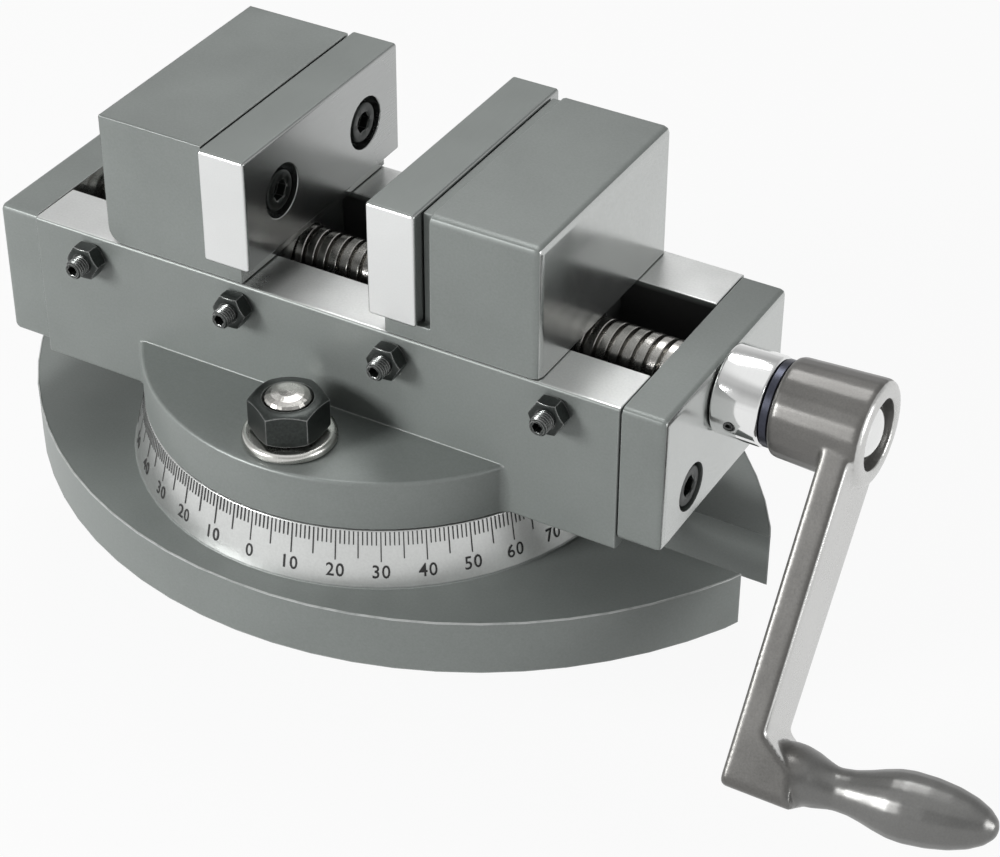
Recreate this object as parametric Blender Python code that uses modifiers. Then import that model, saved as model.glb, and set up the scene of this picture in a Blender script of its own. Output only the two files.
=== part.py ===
"""Self-centring machine vise on a graduated swivel base.

A crank turns one screw that is threaded left-handed on one half and right-handed on the other, so both
jaws close on the middle of the bed. The bed turns on a pivot in the base and is clamped by two T-bolts
that run in an annular T-slot under its ears. +X points to the crank, -Y to the operator, and the origin
lies on the swivel axis at the underside of the base.
"""

import math

import bmesh
import bpy
from mathutils import Matrix, Vector

OBJECT_NAME = "self_centring_vise"

# Clearances, and how far a cutter runs past what it cuts
SEAT_GAP = 0.0003
SWIVEL_GAP = 0.0005
OVERRUN = 0.003

# Facet counts
RING_STEPS = 60
TEE_STEPS = 36
ROUND_STEPS = 24
SMALL_STEPS = 14
HIDDEN_STEPS = 12
THREAD_STEPS = 12
EDGE_SEGMENTS = 2

# Base: a lens-shaped flange, two open fixing slots, and the graduated ring
FLANGE_THICK = 0.0186
FLANGE_ARC_RADIUS = 0.145
FLANGE_ARC_OFFSET = 0.0568
FLANGE_TIP_RADIUS = 0.030
FLANGE_EDGE_ROUND = 0.0035
FIXING_SLOT_WIDTH = 0.020
FIXING_SLOT_REACH = 0.100
RING_HEIGHT = 0.0182
RING_FOOT_RADIUS = 0.080
RING_EDGE_ROUND = 0.0004
TEE_CIRCLE_RADIUS = 0.0591
TEE_NECK_WIDTH = 0.0152
TEE_HEAD_WIDTH = 0.025
TEE_HEAD_DEPTH = 0.010
TEE_FLOOR = 0.014
PIVOT_RADIUS = 0.012
PIVOT_FLOOR = 0.009
PIVOT_LENGTH = 0.0405
PIVOT_CHAMFER = 0.001

# Bed: two rails over a channel with an undercut, and an ear at the front and the back
BED_LENGTH = 0.202
BED_WIDTH = 0.080
BED_HEIGHT = 0.0499
BED_EDGE_ROUND = 0.0010
CHANNEL_WIDTH = 0.042
CHANNEL_DEPTH = 0.0257
UNDERCUT_WIDTH = 0.054
UNDERCUT_HEIGHT = 0.009
EAR_RADIUS = 0.0757
EAR_THICK = 0.0167
EAR_FILLET = 0.003
EAR_EDGE_ROUND = 0.0012

# Gib: a strip in the front rail, pressed by four set screws with lock nuts
GIB_DEPTH = 0.0044
GIB_HEIGHT = 0.0107
GIB_SCREW_DROP = 0.0076
GIB_SCREW_PITCH = 0.0536
GIB_SCREW_COUNT = 4
GIB_SCREW_RADIUS = 0.003
GIB_SCREW_STAND_OUT = 0.010
GIB_SCREW_HEX = 0.003
GIB_SCREW_CHAMFER = 0.0006
LOCK_NUT_FLATS = 0.010
LOCK_NUT_THICK = 0.005
HEX_SOCKET_DEPTH = 0.004

# End plates and their screws
END_PLATE_THICK = 0.0142
END_PLATE_WIDTH = 0.0788
END_PLATE_HEIGHT = 0.0462
END_PLATE_EDGE_ROUND = 0.002
END_SCREW_SPREAD = 0.0424
END_SCREW_RISE = 0.0161
END_COUNTERBORE_RADIUS = 0.0075

# Socket cap screws of the jaw plates and the end plates
CAP_HEAD_RADIUS = 0.0065
CAP_HEAD_HEIGHT = 0.008
CAP_HEAD_CHAMFER = 0.0008
CAP_HEX = 0.006
CAP_SHANK_RADIUS = 0.004
CAP_SHANK_LENGTH = 0.019
COUNTERBORE_DEPTH = 0.009

# Jaws: blocks that slide on the rails, each with a step that carries its plate
JAW_OPENING = 0.0408
JAW_PLATE_THICK = 0.016
JAW_PLATE_WIDTH = 0.0844
JAW_PLATE_EDGE_ROUND = 0.001
JAW_BLOCK_WIDTH = 0.0798
JAW_BLOCK_EDGE_ROUND = 0.0026
JAW_BLOCK_FRONT_ROUND = 0.0006
JAW_HEIGHT = 0.0436
JAW_STEP_HEIGHT = 0.006
JAW_STEP_SETBACK = 0.0043
JAW_LEFT_LENGTH = 0.0363
JAW_RIGHT_LENGTH = 0.0387
JAW_LEFT_HEEL_ROUND = 0.005
RELIEF_LENGTH = 0.0031
RELIEF_SIDE = 0.0025
RELIEF_TOP = 0.0010
TONGUE_START = 0.0279
TONGUE_END = 0.0700
JAW_SCREW_SPREAD = 0.046
JAW_SCREW_RISE = 0.0248
JAW_COUNTERBORE_RADIUS = 0.0085

# Lead screw and the nuts in the jaws
SCREW_DROP = 0.0116
SCREW_RADIUS = 0.009
SCREW_ROOT_RADIUS = 0.007
SCREW_PITCH = 0.004
SCREW_BAND_RADIUS = 0.0092
SCREW_BAND_WIDTH = 0.0026
SCREW_JOURNAL_RADIUS = 0.0055
THREAD_CREST_SHARE = 0.58
THREAD_BASE_SHARE = 0.80
SHAFT_CHAMFER = 0.0004
NUT_RADIUS = 0.0115
NUT_LENGTH = 0.028

# Collar, spacer, crank and knob, in order along the screw
COLLAR_RADIUS = 0.0137
COLLAR_LENGTH = 0.0152
COLLAR_EDGE_ROUND = 0.0012
SPACER_RADIUS = 0.0132
SPACER_LENGTH = 0.0024
HUB_RADIUS = 0.0150
HUB_MOUTH_RADIUS = 0.0162
HUB_LENGTH = 0.029
HUB_RIM_ROUND = 0.0022
HUB_RECESS_RADIUS = 0.0107
HUB_RECESS_DEPTH = 0.0046
CRANK_TILT = math.radians(35.6)
CRANK_REACH = 0.107
KNOB_FOOT = 0.0081
CRANK_THROW = CRANK_REACH - KNOB_FOOT
ARM_SETBACK = 0.0177
ARM_THICK = 0.0090
ARM_TOP_WIDTH = 0.0283
ARM_END_WIDTH = 0.0238
ARM_EDGE_ROUND = 0.0010
ARM_CORNER_ROUND = 0.003
HEEL_THICK = 0.0220
HEEL_RISE = 0.018
HEEL_FILLET = 0.002
HEEL_SLOPE = math.radians(35.5)
HEEL_LEAN = 0.0028
KNOB_LEAN = math.radians(6.4)
KNOB_SINK = 0.008
KNOB_SINK_RADIUS = 0.005
KNOB_ROOT_RADIUS = 0.0072
KNOB_WAIST_RADIUS = 0.0062
KNOB_BELLY_RADIUS = 0.0104
KNOB_LENGTH = 0.0551
KNOB_WAIST_SHARE = 0.155
KNOB_BELLY_SHARE = 0.53
KNOB_STEPS = 18
END_SCREW_HEAD_RADIUS = 0.009
END_SCREW_HEAD_HEIGHT = 0.0045
END_SCREW_SHANK_RADIUS = 0.0025
END_SCREW_SHANK_LENGTH = 0.009

# Clamp bolts that lock the swivel
CLAMP_OFFSET = 0.003
CLAMP_STUD_RADIUS = 0.007
CLAMP_STUD_STAND_OUT = 0.0165
CLAMP_STUD_DOME = 0.002
CLAMP_HEAD_LENGTH = 0.0232
CLAMP_HEAD_WIDTH = 0.0142
CLAMP_HEAD_THICK = 0.0085
CLAMP_NUT_FLATS = 0.021
CLAMP_NUT_THICK = 0.011
CLAMP_WASHER_RADIUS = 0.0142
CLAMP_WASHER_THICK = 0.0028

# Heights and stations that follow from the sizes above
BASE_TOP = FLANGE_THICK + RING_HEIGHT
BED_BOTTOM = BASE_TOP + SWIVEL_GAP
BED_TOP = BED_BOTTOM + BED_HEIGHT
CHANNEL_FLOOR = BED_TOP - CHANNEL_DEPTH
EAR_TOP = BED_BOTTOM + EAR_THICK
SCREW_AXIS = BED_TOP - SCREW_DROP
GIB_SCREW_AXIS = BED_TOP - GIB_SCREW_DROP
END_SCREW_AXIS = BED_BOTTOM + END_SCREW_RISE
JAW_BOTTOM = BED_TOP + SEAT_GAP
JAW_TOP = BED_TOP + JAW_HEIGHT
JAW_STEP_TOP = BED_TOP + JAW_STEP_HEIGHT
JAW_SCREW_AXIS = BED_TOP + JAW_SCREW_RISE
JAW_FACE = JAW_OPENING / 2
JAW_PLATE_BACK = JAW_FACE + JAW_PLATE_THICK
JAW_BLOCK_FACE = JAW_PLATE_BACK + SEAT_GAP
BED_END = BED_LENGTH / 2
PLATE_INNER = BED_END + SEAT_GAP
PLATE_OUTER = PLATE_INNER + END_PLATE_THICK
THREAD_END = PLATE_INNER - SEAT_GAP
COLLAR_START = PLATE_OUTER + SEAT_GAP
SPACER_START = COLLAR_START + COLLAR_LENGTH + SEAT_GAP
HUB_START = SPACER_START + SPACER_LENGTH + SEAT_GAP
HUB_END = HUB_START + HUB_LENGTH
ARM_START = HUB_START + ARM_SETBACK
HEEL_END = ARM_START + HEEL_THICK
SHAFT_END = HUB_END - HUB_RECESS_DEPTH - SEAT_GAP
FRONT_GIB_BACK = CHANNEL_WIDTH / 2 + GIB_DEPTH

parts = bpy.data.collections.new(OBJECT_NAME)
cutters = bpy.data.collections.new("cutters")


def material(name, colour, metallic, roughness):
    """A Principled material with one colour."""
    new = bpy.data.materials.new(name)
    new.use_nodes = True
    shader = new.node_tree.nodes["Principled BSDF"]
    shader.inputs["Base Color"].default_value = (*colour, 1.0)
    shader.inputs["Metallic"].default_value = metallic
    shader.inputs["Roughness"].default_value = roughness
    return new


def baked(source):
    """Replace an object's data with its evaluated mesh, welded and with flat areas made whole."""
    graph = bpy.context.evaluated_depsgraph_get()
    mesh = bpy.data.meshes.new_from_object(source.evaluated_get(graph))
    bm = bmesh.new()
    bm.from_mesh(mesh)
    bmesh.ops.remove_doubles(bm, verts=bm.verts, dist=SEAT_GAP / 100)
    bm.to_mesh(mesh)
    bm.free()
    source.modifiers.clear()
    source.data = mesh
    return source


def placed(name, mesh, collection=cutters):
    new = bpy.data.objects.new(name, mesh)
    collection.objects.link(new)
    return new


def from_bmesh(name, bm):
    mesh = bpy.data.meshes.new(name)
    bm.to_mesh(mesh)
    bm.free()
    return placed(name, mesh)


def box(name, low, high):
    """A box between two corners."""
    low, high = Vector(low), Vector(high)
    bm = bmesh.new()
    bmesh.ops.create_cube(bm, size=1.0)
    bmesh.ops.scale(bm, vec=high - low, verts=bm.verts)
    bmesh.ops.translate(bm, vec=(low + high) / 2, verts=bm.verts)
    return from_bmesh(name, bm)


def cylinder(name, radius, low, high, steps=ROUND_STEPS, turn=0.0):
    """A closed cylinder or regular prism along local Z, its first corner at the angle `turn` from Y."""
    bm = bmesh.new()
    bmesh.ops.create_cone(
        bm, cap_ends=True, segments=steps, radius1=radius, radius2=radius, depth=high - low,
        matrix=Matrix.Translation((0, 0, (low + high) / 2)) @ Matrix.Rotation(turn, 4, "Z"),
    )
    return from_bmesh(name, bm)


def turned(name, profile, steps=ROUND_STEPS, ring=False):
    """A solid of revolution about local Z; the profile of (radius, height) runs down its outer side."""
    bm = bmesh.new()
    points = [bm.verts.new((radius, 0, height)) for radius, height in profile]
    for first, second in zip(points, points[1:] + (points[:1] if ring else [])):
        bm.edges.new((first, second))
    new = from_bmesh(name, bm)
    screw = new.modifiers.new("turn", "SCREW")
    screw.steps = screw.render_steps = steps
    screw.use_merge_vertices = True
    screw.merge_threshold = SEAT_GAP / 100
    return baked(new)


def plate(name, outline, low, high):
    """A flat outline in XY made solid between two heights."""
    curve = bpy.data.curves.new(name, "CURVE")
    curve.dimensions = "2D"
    curve.fill_mode = "BOTH"
    curve.extrude = (high - low) / 2
    spline = curve.splines.new("POLY")
    spline.points.add(len(outline) - 1)
    for point, (x, y) in zip(spline.points, outline):
        point.co = (x, y, 0, 1)
    spline.use_cyclic_u = True
    flat = placed(name, curve)
    graph = bpy.context.evaluated_depsgraph_get()
    mesh = bpy.data.meshes.new_from_object(flat.evaluated_get(graph))
    bpy.data.objects.remove(flat)
    bm = bmesh.new()
    bm.from_mesh(mesh)
    bmesh.ops.remove_doubles(bm, verts=bm.verts, dist=SEAT_GAP / 100)
    bmesh.ops.dissolve_limit(bm, angle_limit=math.radians(0.5), verts=bm.verts, edges=bm.edges)
    bmesh.ops.recalc_face_normals(bm, faces=bm.faces)
    bmesh.ops.translate(bm, vec=(0, 0, (low + high) / 2), verts=bm.verts)
    return from_bmesh(name, bm)


def moved(source, location=(0, 0, 0), turns=()):
    """Move a mesh's points: first the turns, as (angle, axis), then the shift."""
    matrix = Matrix.Translation(location)
    for angle, axis in reversed(turns):
        matrix = matrix @ Matrix.Rotation(angle, 4, axis)
    source.data.transform(matrix)
    return source


def along_x(source, location=(0, 0, 0)):
    """Lay a solid built along local Z along +X."""
    return moved(source, location, ((math.pi / 2, "Y"),))


def along_y(source, location=(0, 0, 0)):
    """Lay a solid built along local Z along +Y."""
    return moved(source, location, ((-math.pi / 2, "X"),))


def joined(source, tool, operation):
    """Join, cut or intersect a solid with another one, which stays in the cutters' collection."""
    step = source.modifiers.new(tool.name, "BOOLEAN")
    step.operation = operation
    step.solver = "EXACT"
    step.object = tool
    tool.hide_render = True
    tool.display_type = "WIRE"
    return baked(source)


def cut(source, *tools):
    for tool in tools:
        joined(source, tool, "DIFFERENCE")
    return source


def united(source, *tools):
    for tool in tools:
        joined(source, tool, "UNION")
    return source


def rounded(source, width, pick, segments=EDGE_SEGMENTS):
    """Round the sharp edges whose middle and direction `pick` accepts."""
    bm = bmesh.new()
    bm.from_mesh(source.data)
    chosen = []
    for edge in bm.edges:
        if len(edge.link_faces) == 2 and edge.calc_face_angle() > math.radians(30):
            middle = (edge.verts[0].co + edge.verts[1].co) / 2
            way = (edge.verts[1].co - edge.verts[0].co).normalized()
            if pick(middle, way):
                chosen.append(edge)
    bmesh.ops.bevel(
        bm, geom=chosen, offset=width, offset_type="OFFSET", segments=segments, profile=0.5,
        affect="EDGES", clamp_overlap=True,
    )
    bm.to_mesh(source.data)
    bm.free()
    return source


def arc(centre, radius, start, end, steps):
    """Points along an arc, angles in radians."""
    return [
        (
            centre[0] + radius * math.cos(start + (end - start) * step / steps),
            centre[1] + radius * math.sin(start + (end - start) * step / steps),
        )
        for step in range(steps + 1)
    ]


def quarter_profile(radius, low, high, edge, steps=EDGE_SEGMENTS):
    """A disc's profile of (radius, height), both rims rounded by `edge`."""
    upper = arc((radius - edge, high - edge), edge, math.pi / 2, 0, steps)
    lower = arc((radius - edge, low + edge), edge, 0, -math.pi / 2, steps)
    return upper + lower


def finished(source, name, look, parent, centre=(0, 0, 0), location=None, rotation=(0, 0, 0)):
    """Name a solid, shade its round faces smooth, and hang it under its body's empty."""
    mesh = source.data
    if location is None:
        mesh.transform(Matrix.Translation(-Vector(centre)))
        location = centre
    mesh.shade_smooth()
    mesh.set_sharp_from_angle(angle=math.radians(32))
    mesh.materials.clear()
    mesh.materials.append(look)
    new = placed(name, mesh, parts)
    mesh.name = name
    bpy.data.objects.remove(source)
    return hung(new, parent, location, rotation)


def hung(new, parent, location, rotation):
    """Give an object its place in the shared frame and its body's empty as parent."""
    new.parent = parent
    new.location = Vector(location) - Vector(parent.matrix_world.translation if parent else (0, 0, 0))
    new.rotation_euler = rotation
    return new


def copied(source, name, location, rotation=(0, 0, 0), parent=None):
    """Another piece with the same mesh, under the same empty or another one."""
    return hung(placed(name, source.data, parts), parent or source.parent, location, rotation)


def body(name, location, parent=None):
    """The empty on a joint's axis that carries a moving body."""
    empty = bpy.data.objects.new(name, None)
    parts.objects.link(empty)
    hung(empty, parent, location, (0, 0, 0))
    bpy.context.view_layer.update()
    return empty


def lens_outline():
    """Two wide arcs whose meeting tips are rounded, anticlockwise from the right tip."""
    reach = FLANGE_ARC_RADIUS - FLANGE_TIP_RADIUS
    tip = math.sqrt(reach**2 - FLANGE_ARC_OFFSET**2)
    turn = math.atan2(FLANGE_ARC_OFFSET, tip)
    points = []
    for side in (1, -1):
        centre = (0, -side * FLANGE_ARC_OFFSET)
        start = turn if side == 1 else math.pi + turn
        points += arc(centre, FLANGE_ARC_RADIUS, start, start + math.pi - 2 * turn, 24)
        start = math.pi - turn if side == 1 else -turn
        points += arc((-side * tip, 0), FLANGE_TIP_RADIUS, start, start + 2 * turn, 6)[1:-1]
    return points


def swivel_base():
    """The flange with its fixing slots, the conical ring, the T-slot and the pivot bore."""
    flange = plate("flange", lens_outline(), 0, FLANGE_THICK)
    for side in (1, -1):
        end = side * (FLANGE_ARC_RADIUS + OVERRUN)
        reach = side * FIXING_SLOT_REACH
        half = FIXING_SLOT_WIDTH / 2
        slot = plate(
            "fixing_slot",
            [(end, -side * half), (end, side * half)]
            + arc((reach, 0), half, side * math.pi / 2, side * math.pi / 2 + math.pi, 12),
            -OVERRUN,
            FLANGE_THICK + OVERRUN,
        )
        cut(flange, slot)
    rounded(
        flange,
        FLANGE_EDGE_ROUND,
        lambda middle, way: middle.z > FLANGE_THICK * 0.99
        and abs(way.z) < 0.5
        and (abs(middle.y) > FIXING_SLOT_WIDTH * 0.52),
    )
    ring = turned(
        "ring",
        [(0, BASE_TOP), (EAR_RADIUS - RING_EDGE_ROUND, BASE_TOP), (EAR_RADIUS, BASE_TOP - RING_EDGE_ROUND),
         (RING_FOOT_RADIUS, FLANGE_THICK), (RING_FOOT_RADIUS, FLANGE_THICK / 2), (0, FLANGE_THICK / 2)],
        RING_STEPS,
    )
    neck_top = BASE_TOP + OVERRUN
    tee_roof = TEE_FLOOR + TEE_HEAD_DEPTH
    neck, head = TEE_NECK_WIDTH / 2, TEE_HEAD_WIDTH / 2
    tee = turned(
        "annular_tee_slot",
        [(TEE_CIRCLE_RADIUS + across, height) for across, height in (
            (-neck, neck_top), (neck, neck_top), (neck, tee_roof), (head, tee_roof),
            (head, TEE_FLOOR), (-head, TEE_FLOOR), (-head, tee_roof), (-neck, tee_roof))],
        TEE_STEPS,
        ring=True,
    )
    bore = cylinder("pivot_bore", PIVOT_RADIUS + SEAT_GAP, PIVOT_FLOOR, neck_top)
    return cut(united(flange, ring), tee, bore)


def ear_outline():
    """The ears' plan: a disc met by the bed's faces in small hollow fillets."""
    face = BED_WIDTH / 2
    out = EAR_RADIUS + EAR_FILLET
    x = math.sqrt(out**2 - (face + EAR_FILLET) ** 2)
    turn = math.atan2(face + EAR_FILLET, x)
    corner = (x, face + EAR_FILLET)
    points = [(x, face)] + arc(corner, EAR_FILLET, -math.pi / 2, turn - math.pi, 4)[1:-1]
    points += arc((0, 0), EAR_RADIUS, turn, math.pi - turn, 24)
    points += arc((-x, corner[1]), EAR_FILLET, -turn, -math.pi / 2, 4)[1:-1] + [(-x, face)]
    return points + [(-x, -y) for x, y in points]


def vise_bed():
    """The rails, the channel with its undercut, the gib slot, the ears and every hole."""
    half = BED_WIDTH / 2
    bed = box("bed", (-BED_END, -half, BED_BOTTOM), (BED_END, half, BED_TOP))
    rounded(bed, BED_EDGE_ROUND, lambda middle, way: abs(way.x) > 0.9)
    ears = plate("ears", ear_outline(), BED_BOTTOM, EAR_TOP)
    rounded(
        ears,
        EAR_EDGE_ROUND,
        lambda middle, way: middle.z > EAR_TOP - SEAT_GAP and abs(way.y) < 0.99 and abs(way.z) < 0.5,
    )
    united(bed, ears)
    end = BED_END + OVERRUN
    inner = CHANNEL_WIDTH / 2
    under = UNDERCUT_WIDTH / 2
    channel_top = BED_TOP + OVERRUN
    under_top = CHANNEL_FLOOR + UNDERCUT_HEIGHT
    cut(
        bed,
        moved(
            plate(
                "tee_way",
                [(-inner, channel_top), (-inner, under_top), (-under, under_top), (-under, CHANNEL_FLOOR),
                 (under, CHANNEL_FLOOR), (under, under_top), (inner, under_top), (inner, channel_top)],
                -end,
                end,
            ),
            turns=((math.pi / 2, "X"), (math.pi / 2, "Z")),
        ),
        box(
            "gib_slot",
            (-end, -FRONT_GIB_BACK, GIB_SCREW_AXIS - GIB_HEIGHT / 2),
            (end, 0, GIB_SCREW_AXIS + GIB_HEIGHT / 2),
        ),
        cylinder(
            "spigot_socket", PIVOT_RADIUS + SEAT_GAP, BED_BOTTOM - OVERRUN,
            PIVOT_FLOOR + PIVOT_LENGTH + 2 * SEAT_GAP,
        ),
    )
    for x in gib_screw_stations():
        cut(bed, along_y(
            cylinder("gib_screw_hole", GIB_SCREW_RADIUS + SEAT_GAP, -half - OVERRUN, 0, HIDDEN_STEPS),
            (x, 0, GIB_SCREW_AXIS),
        ))
    for side in (1, -1):
        x, y = clamp_place(side)
        cut(bed, moved(
            cylinder("ear_hole", CLAMP_STUD_RADIUS + SEAT_GAP, BED_BOTTOM - OVERRUN, EAR_TOP + OVERRUN),
            (x, y, 0),
        ))
        for across in (END_SCREW_SPREAD / 2, -END_SCREW_SPREAD / 2):
            deep = BED_END - CAP_SHANK_LENGTH
            low, high = sorted((side * deep, side * end))
            cut(bed, along_x(
                cylinder("end_screw_hole", CAP_SHANK_RADIUS + SEAT_GAP, low, high, HIDDEN_STEPS),
                (0, across, END_SCREW_AXIS),
            ))
    return bed


def gib_screw_stations():
    return [(step - (GIB_SCREW_COUNT - 1) / 2) * GIB_SCREW_PITCH for step in range(GIB_SCREW_COUNT)]


def clamp_place(side):
    """Where the front (1) or rear (-1) clamp bolt stands on the T-slot's circle."""
    x = side * CLAMP_OFFSET
    return x, -side * math.sqrt(TEE_CIRCLE_RADIUS**2 - CLAMP_OFFSET**2)


def pivot_spigot():
    top = PIVOT_FLOOR + SEAT_GAP + PIVOT_LENGTH
    low = PIVOT_FLOOR + SEAT_GAP
    inner = PIVOT_RADIUS - PIVOT_CHAMFER
    return turned(
        "spigot",
        [(0, top), (inner, top), (PIVOT_RADIUS, top - PIVOT_CHAMFER), (PIVOT_RADIUS, low + PIVOT_CHAMFER),
         (inner, low), (0, low)],
    )


def end_plate(side):
    """A plate across one end of the bed, bored for the screw and counterbored for its two screws."""
    half = END_PLATE_WIDTH / 2
    low, high = sorted((side * PLATE_INNER, side * PLATE_OUTER))
    solid = box("end", (low, -half, BED_TOP - END_PLATE_HEIGHT), (high, half, BED_TOP))
    rounded(
        solid,
        END_PLATE_EDGE_ROUND,
        lambda middle, way: abs(middle.x) > PLATE_INNER + END_PLATE_THICK / 4,
    )
    reach = END_PLATE_THICK + 2 * OVERRUN
    start = side * (PLATE_INNER + END_PLATE_THICK / 2)
    bore = cylinder("journal_bore", SCREW_JOURNAL_RADIUS + SEAT_GAP, -reach, reach)
    cut(solid, along_x(bore, (start, 0, SCREW_AXIS)))
    for across in (END_SCREW_SPREAD / 2, -END_SCREW_SPREAD / 2):
        cutter = counterbore("end_counterbore", END_COUNTERBORE_RADIUS, END_PLATE_THICK)
        turn = math.pi / 2 if side == 1 else -math.pi / 2
        cut(solid, moved(cutter, (side * PLATE_OUTER, across, END_SCREW_AXIS), ((turn, "Y"),)))
    return solid


def counterbore(name, radius, thick):
    """The cutter for a cap screw's counterbore and hole, its mouth at height 0 and +Z pointing out."""
    hole = CAP_SHANK_RADIUS + SEAT_GAP
    return turned(
        name,
        [(0, OVERRUN), (radius, OVERRUN), (radius, -COUNTERBORE_DEPTH), (hole, -COUNTERBORE_DEPTH),
         (hole, -thick - OVERRUN), (0, -thick - OVERRUN)],
    )


def cap_screw():
    """A socket cap screw with +Z out of its head, whose underside is at height 0."""
    head = CAP_HEAD_HEIGHT
    rim = CAP_HEAD_RADIUS - CAP_HEAD_CHAMFER
    solid = turned(
        "cap_screw",
        [(0, head), (rim, head), (CAP_HEAD_RADIUS, head - CAP_HEAD_CHAMFER), (CAP_HEAD_RADIUS, 0),
         (CAP_SHANK_RADIUS, 0), (CAP_SHANK_RADIUS, -CAP_SHANK_LENGTH), (0, -CAP_SHANK_LENGTH)],
        SMALL_STEPS,
    )
    return cut(solid, cylinder(
        "hex_socket", CAP_HEX / math.sqrt(3), head - HEX_SOCKET_DEPTH, head + OVERRUN, 6, math.pi / 6,
    ))


def gib_screw(length):
    """A set screw with +Z out of its socket end."""
    rim = GIB_SCREW_RADIUS - GIB_SCREW_CHAMFER
    solid = turned(
        "set_screw",
        [(0, 0), (rim, 0), (GIB_SCREW_RADIUS, -GIB_SCREW_CHAMFER),
         (GIB_SCREW_RADIUS, GIB_SCREW_CHAMFER - length), (rim, -length), (0, -length)],
        HIDDEN_STEPS,
    )
    return cut(solid, cylinder(
        "set_screw_socket", GIB_SCREW_HEX / math.sqrt(3), -HEX_SOCKET_DEPTH, OVERRUN, 6, math.pi / 6,
    ))


def hex_nut(flats, thick, bore, turn):
    """A nut on height 0, both ends of its corners turned off by a cone."""
    corner = flats / math.sqrt(3)
    rim = flats / 2
    fall = (corner - rim) * 0.6
    solid = cylinder("nut", corner, 0, thick, 6, turn)
    cone = turned(
        "nut_chamfer",
        [(0, thick), (rim, thick), (rim + 2 * fall, thick - fall * 1.2), (rim + 2 * fall, fall * 1.2), (rim, 0), (0, 0)],
        18,
    )
    joined(solid, cone, "INTERSECT")
    return cut(solid, cylinder("nut_bore", bore + SEAT_GAP, -OVERRUN, thick + OVERRUN, SMALL_STEPS))


def clamp_bolt():
    """A hammer-head bolt, its head in the T-slot and its domed stud over the nut, on height 0 at the base."""
    head_top = TEE_FLOOR + TEE_HEAD_DEPTH - SEAT_GAP
    top = EAR_TOP + CLAMP_STUD_STAND_OUT
    dome = [
        (CLAMP_STUD_RADIUS * math.sin(angle), top - CLAMP_STUD_DOME * (1 - math.cos(angle)))
        for angle in (math.pi / 2 * step / 4 for step in range(5))
    ]
    stud = turned("stud", dome + [(CLAMP_STUD_RADIUS, head_top - CLAMP_HEAD_THICK / 2),
                                  (0, head_top - CLAMP_HEAD_THICK / 2)])
    half_length, half_width = CLAMP_HEAD_LENGTH / 2, CLAMP_HEAD_WIDTH / 2
    head = box("tee_head", (-half_width, -half_length, head_top - CLAMP_HEAD_THICK),
               (half_width, half_length, head_top))
    return united(head, stud)


def clamp_washer():
    bore = CLAMP_STUD_RADIUS + SEAT_GAP
    edge = CLAMP_WASHER_THICK / 5
    return turned(
        "washer",
        quarter_profile(CLAMP_WASHER_RADIUS, 0, CLAMP_WASHER_THICK, edge, 1)
        + [(bore, 0), (bore, CLAMP_WASHER_THICK)],
        ring=True,
    )


def jaw_plate(side):
    """A hardened plate, counterbored for its two screws on the gripping face."""
    half = JAW_PLATE_WIDTH / 2
    low, high = sorted((side * JAW_FACE, side * JAW_PLATE_BACK))
    solid = box("gripping_plate", (low, -half, JAW_STEP_TOP + SEAT_GAP), (high, half, JAW_TOP))
    rounded(solid, JAW_PLATE_EDGE_ROUND, lambda middle, way: True, 2)
    turn = -math.pi / 2 if side == 1 else math.pi / 2
    for across in (JAW_SCREW_SPREAD / 2, -JAW_SCREW_SPREAD / 2):
        cutter = counterbore("jaw_counterbore", JAW_COUNTERBORE_RADIUS, JAW_PLATE_THICK)
        cut(solid, moved(cutter, (side * JAW_FACE, across, JAW_SCREW_AXIS), ((turn, "Y"),)))
    return solid


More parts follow.
